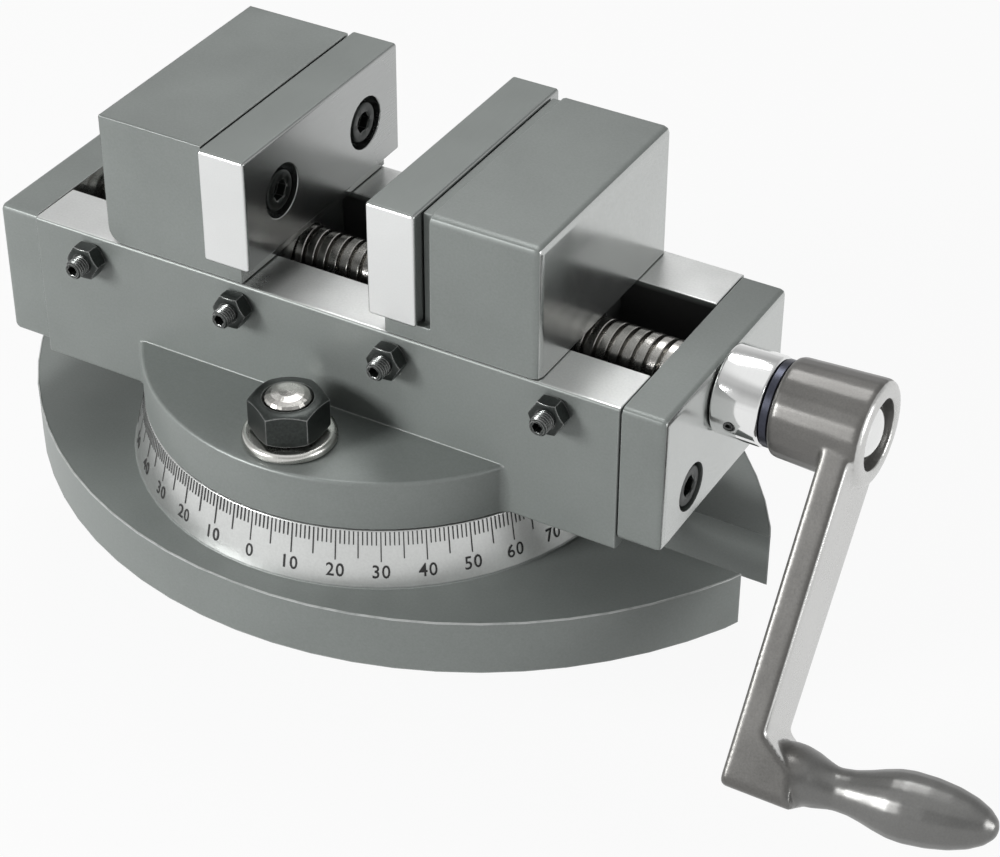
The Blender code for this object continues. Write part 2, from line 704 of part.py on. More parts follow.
def jaw_block(side, length, relief, heel):
    """A sliding jaw: block, step for the plate, and the T-tongue that runs in the bed."""
    half = JAW_BLOCK_WIDTH / 2
    face = JAW_BLOCK_FACE + relief
    back = JAW_BLOCK_FACE + length
    step = JAW_FACE + JAW_STEP_SETBACK
    outline = [(face, JAW_STEP_TOP), (step, JAW_STEP_TOP), (step, JAW_BOTTOM)]
    outline += arc((back - heel, JAW_BOTTOM + heel), heel, -math.pi / 2, 0, 5) if heel else [(back, JAW_BOTTOM)]
    outline += [(back, JAW_TOP), (face, JAW_TOP)]
    solid = moved(
        plate("block", [(side * x, z) for x, z in outline], -half, half), turns=((math.pi / 2, "X"),)
    )
    middle_height = (JAW_BOTTOM + JAW_STEP_TOP) / 2
    round_from = max(middle_height, JAW_BOTTOM + heel)
    rounded(
        solid,
        JAW_BLOCK_EDGE_ROUND,
        lambda middle, way: abs(middle.x) > face + relief + SEAT_GAP and middle.z > round_from,
    )
    if relief:
        rounded(
            solid,
            JAW_BLOCK_FRONT_ROUND,
            lambda middle, way: abs(middle.x) < face + SEAT_GAP and middle.z > JAW_STEP_TOP + SEAT_GAP,
            2,
        )
        low, high = sorted((side * JAW_BLOCK_FACE, side * (face + OVERRUN)))
        united(solid, box(
            "relief_neck",
            (low, RELIEF_SIDE - half, middle_height),
            (high, half - RELIEF_SIDE, JAW_TOP - RELIEF_TOP),
        ))
    waist, foot = CHANNEL_WIDTH / 2 - SEAT_GAP, UNDERCUT_WIDTH / 2 - SEAT_GAP
    sole, shoulder = CHANNEL_FLOOR + SEAT_GAP, CHANNEL_FLOOR + UNDERCUT_HEIGHT - SEAT_GAP
    low, high = sorted((side * TONGUE_START, side * TONGUE_END))
    tongue = moved(
        plate(
            "tongue",
            [(-waist, middle_height), (-waist, shoulder), (-foot, shoulder), (-foot, sole),
             (foot, sole), (foot, shoulder), (waist, shoulder), (waist, middle_height)],
            low,
            high,
        ),
        turns=((math.pi / 2, "X"), (math.pi / 2, "Z")),
    )
    united(solid, tongue)
    seat = NUT_RADIUS + SEAT_GAP
    shoulder_at = TONGUE_END - NUT_LENGTH - SEAT_GAP
    passage = turned(
        "nut_seat",
        [(0, TONGUE_END + OVERRUN), (seat, TONGUE_END + OVERRUN), (seat, shoulder_at),
         (SCREW_RADIUS + 2 * SEAT_GAP, shoulder_at), (SCREW_RADIUS + 2 * SEAT_GAP, TONGUE_START - OVERRUN),
         (0, TONGUE_START - OVERRUN)],
    )
    turn = math.pi / 2 if side == 1 else -math.pi / 2
    cut(solid, moved(passage, (0, 0, SCREW_AXIS), ((turn, "Y"),)))
    deep = screw_depth_in_block()
    for across in (JAW_SCREW_SPREAD / 2, -JAW_SCREW_SPREAD / 2):
        low, high = sorted((side * (JAW_BLOCK_FACE - OVERRUN), side * (JAW_BLOCK_FACE + deep)))
        cut(solid, along_x(
            cylinder("jaw_screw_hole", CAP_SHANK_RADIUS + SEAT_GAP, low, high, HIDDEN_STEPS),
            (0, across, JAW_SCREW_AXIS),
        ))
    return solid


def screw_depth_in_block():
    """How deep a jaw screw's hole goes, so that its tip keeps the seat's clearance."""
    under_plate = JAW_PLATE_THICK - COUNTERBORE_DEPTH
    return CAP_SHANK_LENGTH - under_plate + SEAT_GAP


def jaw_nut(side):
    """The round nut pressed into a jaw's tongue."""
    inner = SCREW_RADIUS + SEAT_GAP
    start = TONGUE_END - NUT_LENGTH
    solid = turned(
        "nut_body",
        [(NUT_RADIUS, TONGUE_END), (NUT_RADIUS, start), (inner, start), (inner, TONGUE_END)],
        ring=True,
    )
    turn = math.pi / 2 if side == 1 else -math.pi / 2
    return moved(solid, (0, 0, SCREW_AXIS), ((turn, "Y"),))


def threads():
    """Both halves' trapezoidal threads, left-handed on +X and mirrored to right-handed on -X.

    One pitch of the profile is root, flank, crest and flank. It is wound for one turn more than the
    thread needs, and both ends are cut off square and filled.
    """
    start = SCREW_BAND_WIDTH / 4
    turns = math.ceil((THREAD_END - start) / SCREW_PITCH) + 1
    rise, crest = (THREAD_BASE_SHARE - THREAD_CREST_SHARE) / 2, THREAD_CREST_SHARE
    profile = (
        (SCREW_ROOT_RADIUS, 1), (SCREW_ROOT_RADIUS, THREAD_BASE_SHARE), (SCREW_RADIUS, rise + crest),
        (SCREW_RADIUS, rise), (SCREW_ROOT_RADIUS, 0),
    )
    bm = bmesh.new()
    points = [bm.verts.new((radius, 0, start + SCREW_PITCH * (share - 1))) for radius, share in profile]
    for first, second in zip(points, points[1:]):
        bm.edges.new((first, second))
    tube = from_bmesh("thread", bm)
    wind = tube.modifiers.new("wind", "SCREW")
    wind.angle = -2 * math.pi
    wind.screw_offset = SCREW_PITCH
    wind.iterations = turns
    wind.steps = wind.render_steps = THREAD_STEPS
    wind.use_merge_vertices = True
    wind.merge_threshold = SEAT_GAP / 100
    baked(tube)
    bm = bmesh.new()
    bm.from_mesh(tube.data)
    for height, way in ((start, -1), (THREAD_END, 1)):
        bmesh.ops.bisect_plane(
            bm, geom=bm.verts[:] + bm.edges[:] + bm.faces[:], plane_co=(0, 0, height),
            plane_no=(0, 0, way), clear_outer=True,
        )
    bmesh.ops.holes_fill(bm, edges=[edge for edge in bm.edges if edge.is_boundary])
    bmesh.ops.recalc_face_normals(bm, faces=bm.faces)
    bm.to_mesh(tube.data)
    bm.free()
    mirror = tube.modifiers.new("other_hand", "MIRROR")
    mirror.use_axis = (False, False, True)
    mirror.merge_threshold = SEAT_GAP / 100
    return baked(tube)


def lead_screw():
    """The two-handed screw: a plain band between the hands, and journals in the end plates."""
    band = SCREW_BAND_WIDTH / 2
    left_end = PLATE_OUTER - SEAT_GAP
    journal, edge = SCREW_JOURNAL_RADIUS, SHAFT_CHAMFER
    shaft = turned(
        "shaft",
        [(0, SHAFT_END), (journal - edge, SHAFT_END), (journal, SHAFT_END - edge), (journal, band),
         (SCREW_BAND_RADIUS, band), (SCREW_BAND_RADIUS, -band), (journal, -band),
         (journal, edge - left_end), (journal - edge, -left_end), (0, -left_end)],
    )
    united(shaft, threads())
    cut(shaft, cylinder(
        "end_screw_bore", END_SCREW_SHANK_RADIUS + SEAT_GAP,
        SHAFT_END - END_SCREW_SHANK_LENGTH - 2 * SEAT_GAP, SHAFT_END + OVERRUN, HIDDEN_STEPS,
    ))
    return along_x(shaft)


def shaft_ring(name, radius, low, high, edge):
    """A ring on the screw's journal."""
    bore = SCREW_JOURNAL_RADIUS + SEAT_GAP
    return along_x(turned(
        name, quarter_profile(radius, low, high, edge) + [(bore, low), (bore, high)], ring=True,
    ))


def end_screw():
    """The domed screw that keeps the crank on, seated in the hub's recess."""
    low = HUB_END - HUB_RECESS_DEPTH
    dome = [
        (END_SCREW_HEAD_RADIUS * math.sin(angle), low + END_SCREW_HEAD_HEIGHT * math.cos(angle))
        for angle in (math.pi / 2 * step / 6 for step in range(7))
    ]
    shank = END_SCREW_SHANK_RADIUS
    tip = SHAFT_END - END_SCREW_SHANK_LENGTH
    return along_x(turned("dome_screw", dome + [(shank, low), (shank, tip), (0, tip)], SMALL_STEPS))


def crank():
    """Hub, arm, heel and knob in one casting, hanging straight down from the screw's axis."""
    rim = arc((HUB_MOUTH_RADIUS - HUB_RIM_ROUND, HUB_END - HUB_RIM_ROUND), HUB_RIM_ROUND, math.pi / 2, 0, 4)
    edge = COLLAR_EDGE_ROUND
    hub = along_x(turned(
        "hub",
        [(0, HUB_END)] + rim + [(HUB_RADIUS, HUB_START + edge), (HUB_RADIUS - edge, HUB_START), (0, HUB_START)],
    ))
    arm = crank_arm()
    knob = moved(
        turned("knob", knob_profile(), KNOB_STEPS), (HEEL_END, 0, -CRANK_THROW),
        ((math.pi / 2 - KNOB_LEAN, "Y"),),
    )
    united(hub, arm, knob)
    bore = SCREW_JOURNAL_RADIUS + SEAT_GAP
    return cut(hub, along_x(turned(
        "crank_bore",
        [(0, HUB_END + OVERRUN), (HUB_RECESS_RADIUS, HUB_END + OVERRUN), (HUB_RECESS_RADIUS, SHAFT_END),
         (bore, SHAFT_END), (bore, HUB_START - OVERRUN), (0, HUB_START - OVERRUN)],
    )))


def crank_arm():
    """The tapering arm, cut to a side view whose heel has a sloping top and a leaning outer face."""
    top, end = ARM_TOP_WIDTH / 2, ARM_END_WIDTH / 2
    corner = ARM_CORNER_ROUND
    foot = [(-end, CRANK_REACH - corner)]
    foot += arc((corner - end, CRANK_REACH - corner), corner, math.pi, math.pi / 2, 3)[1:]
    foot += [(-x, y) for x, y in reversed(foot)]
    arm = moved(
        plate("arm", [(-top, 0)] + foot + [(top, 0)], ARM_START - OVERRUN, HEEL_END + OVERRUN),
        turns=((-math.pi / 2, "Z"), (math.pi / 2, "Y")),
    )
    face, crest = ARM_START + ARM_THICK, HEEL_END - HEEL_LEAN
    lift = CRANK_REACH - HEEL_RISE
    shoulder = lift + (crest - face) * math.tan(HEEL_SLOPE)
    lean = HEEL_LEAN / (CRANK_REACH - shoulder)
    hollow = lift - HEEL_FILLET * (1 - math.sin(HEEL_SLOPE)) / math.cos(HEEL_SLOPE)
    below = CRANK_REACH + OVERRUN
    side = [(ARM_START, -OVERRUN), (face, -OVERRUN)]
    side += arc((face + HEEL_FILLET, hollow), HEEL_FILLET, math.pi, math.pi / 2 + HEEL_SLOPE, 3)
    side += [(crest, shoulder), (HEEL_END + lean * OVERRUN, below), (ARM_START, below)]
    profile = moved(
        plate("arm_side", side, -ARM_TOP_WIDTH, ARM_TOP_WIDTH), turns=((-math.pi / 2, "X"),)
    )
    joined(arm, profile, "INTERSECT")
    return rounded(arm, ARM_EDGE_ROUND, lambda middle, way: middle.z < -SEAT_GAP)


def knob_profile():
    """The knob's outline from its tip to its root sunk in the heel, heights taken from the heel's face."""
    belly = KNOB_LENGTH * KNOB_BELLY_SHARE
    stations = [
        (0, KNOB_ROOT_RADIUS),
        (KNOB_LENGTH * KNOB_WAIST_SHARE, KNOB_WAIST_RADIUS),
        (belly, KNOB_BELLY_RADIUS),
    ]
    points = [(0, -KNOB_SINK), (KNOB_SINK_RADIUS, -KNOB_SINK)]
    for (start, first), (end, second) in zip(stations, stations[1:]):
        for step in range(5):
            blend = (1 - math.cos(math.pi * step / 5)) / 2
            points.append((first + (second - first) * blend, start + (end - start) * step / 5))
    for step in range(6):
        angle = math.pi / 2 * step / 6
        points.append((KNOB_BELLY_RADIUS * math.cos(angle), belly + (KNOB_LENGTH - belly) * math.sin(angle)))
    return [(0, KNOB_LENGTH)] + list(reversed(points))


def build():
    for old in list(bpy.data.objects):
        bpy.data.objects.remove(old)
    for collection in (parts, cutters):
        bpy.context.scene.collection.children.link(collection)

    cast = material("cast_grey", (0.245, 0.255, 0.25), 0.35, 0.42)
    ground = material("ground_steel", (0.42, 0.43, 0.43), 0.85, 0.28)
    machined = material("machined_steel", (0.50, 0.50, 0.50), 0.95, 0.25)
    polished = material("polished_steel", (0.62, 0.62, 0.62), 1.0, 0.12)
    crank_cast = material("crank_metal", (0.34, 0.33, 0.32), 0.8, 0.40)
    black = material("black_oxide", (0.035, 0.035, 0.035), 0.6, 0.42)
    bronze = material("bronze", (0.45, 0.31, 0.16), 0.9, 0.35)

    base = body("base", (0, 0, 0))
    bed = body("swivel", (0, 0, BED_BOTTOM), base)
    turning = body("screw_turn", (0, 0, SCREW_AXIS), bed)
    slides = {side: body(name, (0, 0, BED_TOP), bed) for side, name in ((1, "right_slide"), (-1, "left_slide"))}

    finished(swivel_base(), "swivel_base", cast, base)
    finished(vise_bed(), "vise_bed", cast, bed)
    finished(pivot_spigot(), "pivot_spigot", machined, bed)
    gib = box(
        "strip",
        (SEAT_GAP - BED_END, SEAT_GAP - FRONT_GIB_BACK, GIB_SCREW_AXIS - GIB_HEIGHT / 2 + SEAT_GAP),
        (BED_END - SEAT_GAP, -CHANNEL_WIDTH / 2, GIB_SCREW_AXIS + GIB_HEIGHT / 2 - SEAT_GAP),
    )
    finished(gib, "gib_strip", machined, bed)

    sides = ((1, "right"), (-1, "left"))
    for side, name in sides:
        finished(end_plate(side), f"end_plate_{name}", cast, bed)

    cap = None
    head_seat = COUNTERBORE_DEPTH - SEAT_GAP
    for side, name in sides:
        for across, place in ((-END_SCREW_SPREAD / 2, "front"), (END_SCREW_SPREAD / 2, "back")):
            location = (side * (PLATE_OUTER - head_seat), across, END_SCREW_AXIS)
            rotation = (0, side * math.pi / 2, 0)
            if cap is None:
                cap = finished(cap_screw(), f"end_screw_{name}_{place}", black, bed, location=location, rotation=rotation)
            else:
                copied(cap, f"end_screw_{name}_{place}", location, rotation)

    front = -BED_WIDTH / 2
    tip = front - GIB_SCREW_STAND_OUT
    reach = -FRONT_GIB_BACK - tip
    pin = nut = None
    for number, x in enumerate(gib_screw_stations(), 1):
        screw_at, nut_at = (x, tip, GIB_SCREW_AXIS), (x, front - SEAT_GAP, GIB_SCREW_AXIS)
        facing = (math.pi / 2, 0, 0)
        if pin is None:
            pin = finished(gib_screw(reach), f"gib_screw_{number}", black, bed, location=screw_at, rotation=facing)
            nut = finished(
                hex_nut(LOCK_NUT_FLATS, LOCK_NUT_THICK, GIB_SCREW_RADIUS, math.pi / 6),
                f"lock_nut_{number}", black, bed, location=nut_at, rotation=facing,
            )
        else:
            copied(pin, f"gib_screw_{number}", screw_at, facing)
            copied(nut, f"lock_nut_{number}", nut_at, facing)

    bolt = washer = clamp_nut = None
    for side, name in ((1, "front"), (-1, "rear")):
        x, y = clamp_place(side)
        swing = (0, 0, math.atan2(x, -y) if side == 1 else math.atan2(-x, y))
        seat, over = (x, y, EAR_TOP + SEAT_GAP), (x, y, EAR_TOP + CLAMP_WASHER_THICK + 2 * SEAT_GAP)
        if bolt is None:
            bolt = finished(clamp_bolt(), f"clamp_bolt_{name}", machined, bed, location=(x, y, 0), rotation=swing)
            washer = finished(clamp_washer(), f"clamp_washer_{name}", ground, bed, location=seat)
            clamp_nut = finished(
                hex_nut(CLAMP_NUT_FLATS, CLAMP_NUT_THICK, CLAMP_STUD_RADIUS, 0),
                f"clamp_nut_{name}", black, bed, location=over,
            )
        else:
            copied(bolt, f"clamp_bolt_{name}", (x, y, 0), swing)
            copied(washer, f"clamp_washer_{name}", seat)
            copied(clamp_nut, f"clamp_nut_{name}", over)

    axis = (0, 0, SCREW_AXIS)
    finished(lead_screw(), "lead_screw", machined, turning, location=axis)
    collar_end = COLLAR_START + COLLAR_LENGTH
    finished(shaft_ring("collar", COLLAR_RADIUS, COLLAR_START, collar_end, COLLAR_EDGE_ROUND),
             "thrust_collar", polished, turning, location=axis)
    finished(shaft_ring("spacer", SPACER_RADIUS, SPACER_START, SPACER_START + SPACER_LENGTH, SHAFT_CHAMFER),
             "spacer_ring", black, turning, location=axis)
    finished(crank(), "crank_handle", crank_cast, turning, location=axis, rotation=(-CRANK_TILT, 0, 0))
    finished(end_screw(), "crank_screw", polished, turning, location=axis)

    for side, name, length, relief, heel in (
        (1, "right", JAW_RIGHT_LENGTH, RELIEF_LENGTH, 0),
        (-1, "left", JAW_LEFT_LENGTH, 0, JAW_LEFT_HEEL_ROUND),
    ):
        slide = slides[side]
        middle = (side * (JAW_BLOCK_FACE + length / 2), 0, BED_TOP)
        finished(jaw_block(side, length, relief, heel), f"jaw_block_{name}", cast, slide, centre=middle)
        finished(jaw_plate(side), f"jaw_plate_{name}", ground, slide,
                 centre=(side * (JAW_FACE + JAW_PLATE_THICK / 2), 0, JAW_SCREW_AXIS))
        finished(jaw_nut(side), f"jaw_nut_{name}", bronze, slide,
                 centre=(side * (TONGUE_END - NUT_LENGTH / 2), 0, SCREW_AXIS))
        for across, place in ((-JAW_SCREW_SPREAD / 2, "front"), (JAW_SCREW_SPREAD / 2, "back")):
            location = (side * (JAW_FACE + head_seat), across, JAW_SCREW_AXIS)
            copied(cap, f"jaw_screw_{name}_{place}", location, (0, -side * math.pi / 2, 0), slide)
    for tool in cutters.objects:
        tool.hide_render = True
        tool.display_type = "WIRE"
    bpy.context.view_layer.update()


build()
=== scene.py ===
# %% [markdown]
# # A self-centring machine vise
#
# The CAD solids give every piece its place and size. This lesson dresses them: the blocks keep their
# solids and get broken edges, while the lead screw, the fasteners, the crank and the graduated scale are
# made afresh as fine surfaces. Each piece rides on the body that carries it, so the vise still moves.

# %% Load the solids and keep their box
import math

import bmesh
import bpy
import numpy as np
from mathutils import Matrix, Vector


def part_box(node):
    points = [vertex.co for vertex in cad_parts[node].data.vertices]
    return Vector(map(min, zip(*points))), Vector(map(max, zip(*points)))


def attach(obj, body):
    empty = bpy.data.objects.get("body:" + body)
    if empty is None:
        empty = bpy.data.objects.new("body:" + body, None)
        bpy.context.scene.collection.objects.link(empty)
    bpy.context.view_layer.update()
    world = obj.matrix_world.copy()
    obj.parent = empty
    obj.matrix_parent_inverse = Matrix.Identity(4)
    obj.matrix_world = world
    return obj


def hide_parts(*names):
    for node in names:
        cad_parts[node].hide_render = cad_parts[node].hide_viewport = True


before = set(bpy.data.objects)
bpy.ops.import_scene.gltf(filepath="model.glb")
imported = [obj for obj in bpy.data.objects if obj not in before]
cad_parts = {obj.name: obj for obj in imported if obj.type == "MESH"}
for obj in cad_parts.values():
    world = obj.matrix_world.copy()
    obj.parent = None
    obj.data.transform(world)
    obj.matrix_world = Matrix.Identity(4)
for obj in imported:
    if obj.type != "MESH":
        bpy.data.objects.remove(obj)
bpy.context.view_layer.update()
MM = 0.001


def span(node):
    """The lowest and the highest corner of a node's box, in millimetres."""
    return [np.array(corner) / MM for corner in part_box(node)]


print(len(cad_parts), "solids loaded")

# %% [markdown]
# ## Camera
#
# The picture was taken with a long lens from the front right and above. A camera's three directions follow
# from its azimuth, elevation and roll, so the matrix is written from them and no tracking is needed.

# %% Set the camera
AZIMUTH, ELEVATION, ROLL = np.radians([29.56, 36.21, 0.25])
CAMERA_PLACE = (0.37098, -0.58302, 0.52393)
LENS, SENSOR, NEAR = 97.17, 36, 0.05


def camera_axes(azimuth, elevation, roll):
    """Right, up and backward: right = (cos a, sin a, 0), up = right x forward, and roll turns right to up."""
    right = np.array([math.cos(azimuth), math.sin(azimuth), 0])
    forward = np.array([
        -math.sin(azimuth) * math.cos(elevation),
        math.cos(azimuth) * math.cos(elevation),
        -math.sin(elevation),
    ])
    up = np.cross(right, forward)
    return (
        math.cos(roll) * right + math.sin(roll) * up,
        math.cos(roll) * up - math.sin(roll) * right,
        -forward,
    )


camera = bpy.data.objects.new("camera", bpy.data.cameras.new("camera"))
camera.data.lens, camera.data.sensor_width, camera.data.sensor_fit = LENS, SENSOR, "HORIZONTAL"
camera.data.clip_start = NEAR
turn = Matrix([list(row) for row in np.array(camera_axes(AZIMUTH, ELEVATION, ROLL)).T])
camera.matrix_world = Matrix.Translation(CAMERA_PLACE) @ turn.to_4x4()
scene = bpy.context.scene
scene.collection.objects.link(camera)
scene.camera = camera
scene.view_settings.view_transform = "Standard"
print("camera", tuple(round(v, 3) for v in camera.location))

# %% [markdown]
# ## Shader maths as plain sums
#
# A finish is easier to read as arithmetic than as a picture of wires. `Value` wraps one socket and turns
# `+`, `-` and `*` into Math nodes, and `Wires.node` makes any other node, in a material or in the world.
# Numbers that never change over the surface go straight onto the shader.

# %% Wrap sockets
class Value:
    """One output socket, on which ordinary arithmetic adds Math nodes."""

    def __init__(self, wires, socket):
        self.wires, self.socket = wires, socket

    def _math(self, operation, *terms):
        return self.wires.node("ShaderNodeMath", {"operation": operation}, *terms)

    def __add__(self, other):
        return self._math("ADD", self, other)

    __radd__ = __add__

    def __mul__(self, other):
        return self._math("MULTIPLY", self, other)

    __rmul__ = __mul__

    def __sub__(self, other):
        return self._math("SUBTRACT", self, other)

    def __rsub__(self, other):
        return self._math("SUBTRACT", other, self)

    def __abs__(self):
        return self._math("ABSOLUTE", self)

    def most(self, other):
        """The larger of the two."""
        return self._math("MAXIMUM", self, other)

    def band(self, low, high, out_low=0.0, out_high=1.0):
        """Carries low..high onto out_low..out_high and stops there."""
        return self.wires.node("ShaderNodeMapRange", {"clamp": True}, self, low, high, out_low, out_high)


# %% One method for any node
def put_stops(ramp, stops):
    """Gives a ramp of greys its (place, level) stops, easing from one to the next."""
    ramp.interpolation = "EASE"
    while len(ramp.elements) < len(stops):
        ramp.elements.new(0.5)
    for element, (place, level) in zip(ramp.elements, stops):
        element.position, element.color = place, (level, level, level, 1)


class Wires:
    """A node tree under construction."""

    def __init__(self, tree):
        self.tree = tree

    def feed(self, socket, value):
        """Links a Value to a socket or sets a constant on it; None leaves it as it is."""
        if isinstance(value, Value):
            self.tree.links.new(value.socket, socket)
        elif value is not None:
            socket.default_value = value

    def node(self, kind, settings, *inputs, out=0, **named):
        """Makes a node, sets its settings, feeds its sockets by order or by name, and returns one output.

        The setting `stops` grades a ramp, and every other one is a property of the node.
        """
        made = self.tree.nodes.new(kind)
        for key, value in settings.items():
            if key == "stops":
                put_stops(made.color_ramp, value)
            else:
                setattr(made, key, value)
        for key, value in list(enumerate(inputs)) + list(named.items()):
            self.feed(made.inputs[key.replace("_", " ") if isinstance(key, str) else key], value)
        return Value(self, made.outputs[out])

    def ray(self, kind):
        """1 for one kind of ray, such as Camera or Glossy."""
        return self.node("ShaderNodeLightPath", {}, out=f"Is {kind} Ray")

    def end(self, shader):
        """Leads a shader to the tree's output."""
        output = next(n for n in self.tree.nodes if n.type.startswith("OUTPUT"))
        self.tree.links.new(shader.socket, output.inputs[0])


# %% A material under construction
class Finish(Wires):
    """A material's node tree, with its Principled shader and its Object coordinates."""

    def __init__(self, name):
        self.material = bpy.data.materials.new(name)
        self.material.use_nodes = True
        super().__init__(self.material.node_tree)
        self.shader = self.tree.nodes["Principled BSDF"]
        self.place = self.node("ShaderNodeTexCoord", {}, out="Object")

    def set(self, **values):
        """Sets or links the shader's own sockets; underscores stand for spaces."""
        for key, value in values.items():
            self.feed(self.shader.inputs[key.replace("_", " ")], value)

    def noise(self, scale, stretch=(1, 1, 1), detail=3, roughness=0.55):
        """Cloudy noise, 0..1, with scale cells to the metre, stretched along the axes."""
        place = self.node("ShaderNodeMapping", {}, self.place, Scale=stretch)
        return self.node(
            "ShaderNodeTexNoise", {}, Vector=place, Scale=scale, Detail=detail, Roughness=roughness
        )

    def tint(self, mask, low, high):
        """Mixes two colours by a mask: a Mix node's colours are its sockets 6 and 7, their mix output 2."""
        low, high = (c if isinstance(c, Value) else (*c, 1.0) for c in (low, high))
        return self.node("ShaderNodeMix", {"data_type": "RGBA"}, mask, *[None] * 5, low, high, out=2)

    def axis(self, name):
        """One coordinate of the piece in metres, as it stands at rest."""
        return self.node("ShaderNodeSeparateXYZ", {}, self.place, out=name)

    def facing(self, name):
        """How far the surface looks along one of the piece's own axes, from -1 to 1."""
        normal = self.node("ShaderNodeTexCoord", {}, out="Normal")
        return self.node("ShaderNodeSeparateXYZ", {}, normal, out=name)

    def edges(self, radius, low=0.02, high=0.25):
        """1 on edges and corners: how far a normal that is rounded over `radius` leans from the true one."""
        round_normal = self.node("ShaderNodeBevel", {"samples": 4}, radius)
        true_normal = self.node("ShaderNodeNewGeometry", {}, out="Normal")
        lean = self.node(
            "ShaderNodeVectorMath", {"operation": "DOT_PRODUCT"}, round_normal, true_normal, out="Value"
        )
        return (1 - lean).band(low, high)

    def relief(self, height, depth):
        """Bump from a height of 0..1 that is `depth` metres deep."""
        return self.node("ShaderNodeBump", {}, Strength=1.0, Distance=depth, Height=height)


print("shader helpers ready")

# %% [markdown]
# ## Finishes
#
# The castings are satin grey with a slightly green cast and a grain finer than a millimetre. The gripping
# plates are ground, so fine lines run along them. The ring and the spigot are turned. The nuts are
# blackened, and the black is worn off their corners. Noise on Object coordinates gives all of this without
# a picture, and it stays with the piece when the piece moves.

# %% One recipe for every metal
CLOUDS, SCUFFS_AND_GLINTS = 38, 260  # cells to the metre


def spread(colour, share):
    """A darker and a lighter neighbour of a colour."""
    return tuple(c * (1 - share) for c in colour), tuple(min(1.0, c * (1 + share)) for c in colour)


def metal(name, colour, metallic, rough, grain=1400, bite=8e-6, blotch=0.10, edge_wear_and_highlight=0.0,
          lines=(1, 1, 1), edge_wear_and_highlight_colour=(0.62, 0.63, 0.62), edge=0.0008, zones=()):
    """Metal whose colour and roughness drift with broad noise, with grain or drawn lines as bump.

    A zone is (mask, colour, metallic, roughness): a part of the piece that is machined differently, or one
    whose colour is painted shade or a painted sheen.
    """
    finish = Finish(name)
    broad = finish.noise(CLOUDS, detail=4)
    fine = finish.noise(grain, lines, detail=2)
    mottled = (broad * 0.45 + fine * 0.55).band(0.3, 0.7)
    base, shine, haze = finish.tint(mottled, *spread(colour, blotch)), metallic, rough
    for mask_of, zone_colour, zone_metallic, zone_rough in zones:
        mask = mask_of(finish)
        base = finish.tint(mask, base, finish.tint(mottled, *spread(zone_colour, blotch * 0.7)))
        shine = shine + mask * (zone_metallic - metallic)
        haze = haze + mask * (zone_rough - rough)
    haze = haze + broad.band(0.3, 0.7, -0.04, 0.04) + fine * 0.05
    # The edge mark lightens broken edges: partly wear, and on the castings also a painted edge highlight.
    if edge_wear_and_highlight:
        mask = finish.edges(edge) * finish.noise(SCUFFS_AND_GLINTS, detail=3).band(0.25, 0.55, 0.35, 1.0) * edge_wear_and_highlight
        base = finish.tint(mask, base, edge_wear_and_highlight_colour)
        haze = haze - mask * 0.12
    finish.set(Base_Color=base, Roughness=haze, Metallic=shine, Normal=finish.relief(fine, bite))
    return finish.material


# %% Where a piece is machined differently, or carries painted shade or sheen
RAIL_TOP = span("vise_bed")[1][2]
CHANNEL_HALF = -span("gib_strip")[1][1]  # the gib lies flush with the channel's front wall
_, PLATE_SIDE, PLATE_TOP = span("jaw_plate_right")[1]
RING_TOP, RING_FOOT = (75.7, span("swivel_base")[1][2]), (80.0, 18.6)
KNOB_X = 173.7


def fade(coordinate, edge, start, end):
    """A mask from 0 to 1 between two places, in millimetres from one of the piece's own edges."""
    return coordinate.band((edge + start) * MM, (edge + end) * MM)


def rail_top(finish):
    """The rails' ground tops."""
    return fade(finish.axis("Z"), RAIL_TOP, -0.3, -0.15)


def channel(finish):
    """The inside of the channel, painted near black as shade."""
    return fade(finish.axis("Z"), RAIL_TOP, -0.3, -2.2) * fade(abs(finish.axis("Y")), CHANNEL_HALF, 0.5, 0.1)


def cone(finish):
    """The turned cone that carries the scale."""
    return fade(finish.axis("Z"), RING_FOOT[1], 0.4, 0.8)


def plate_end(finish):
    """The bright short ends of a gripping plate."""
    return fade(abs(finish.axis("Y")), PLATE_SIDE, -0.4, -0.2)


def plate_top(finish):
    """A gripping plate's top edge, as grey as the castings."""
    return fade(finish.axis("Z"), PLATE_TOP, -0.4, -0.2)


def right_face(finish):
    """Faces that look to the right: ground on the jaws and the end plates, and lighter in colour as a painted
    sheen of the light from that side.
    """
    return finish.facing("X").band(0.75, 0.92)


def crank_outer(finish):
    """The crank's outer side as far as the knob's root, shinier and painted lighter as a painted sheen of the
    light from the right.
    """
    return finish.facing("X").band(0.42, 0.56) * fade(finish.axis("X"), KNOB_X, -4.7, -6.2)


def knob(finish):
    """The knob, a little lighter and more metallic than the arm."""
    return fade(finish.axis("X"), KNOB_X, -3.7, 0.8)


print("rail top", round(RAIL_TOP, 2), "plate top", round(PLATE_TOP, 2))

# %% Mix the finishes
GREY = (0.195, 0.212, 0.203)
# The right-facing zone's lighter colour is a painted sheen.
cast = metal(
    "satin_casting", GREY, 0.3, 0.4, edge_wear_and_highlight=0.55, zones=((right_face, (0.50, 0.515, 0.505), 0.9, 0.17),)
)
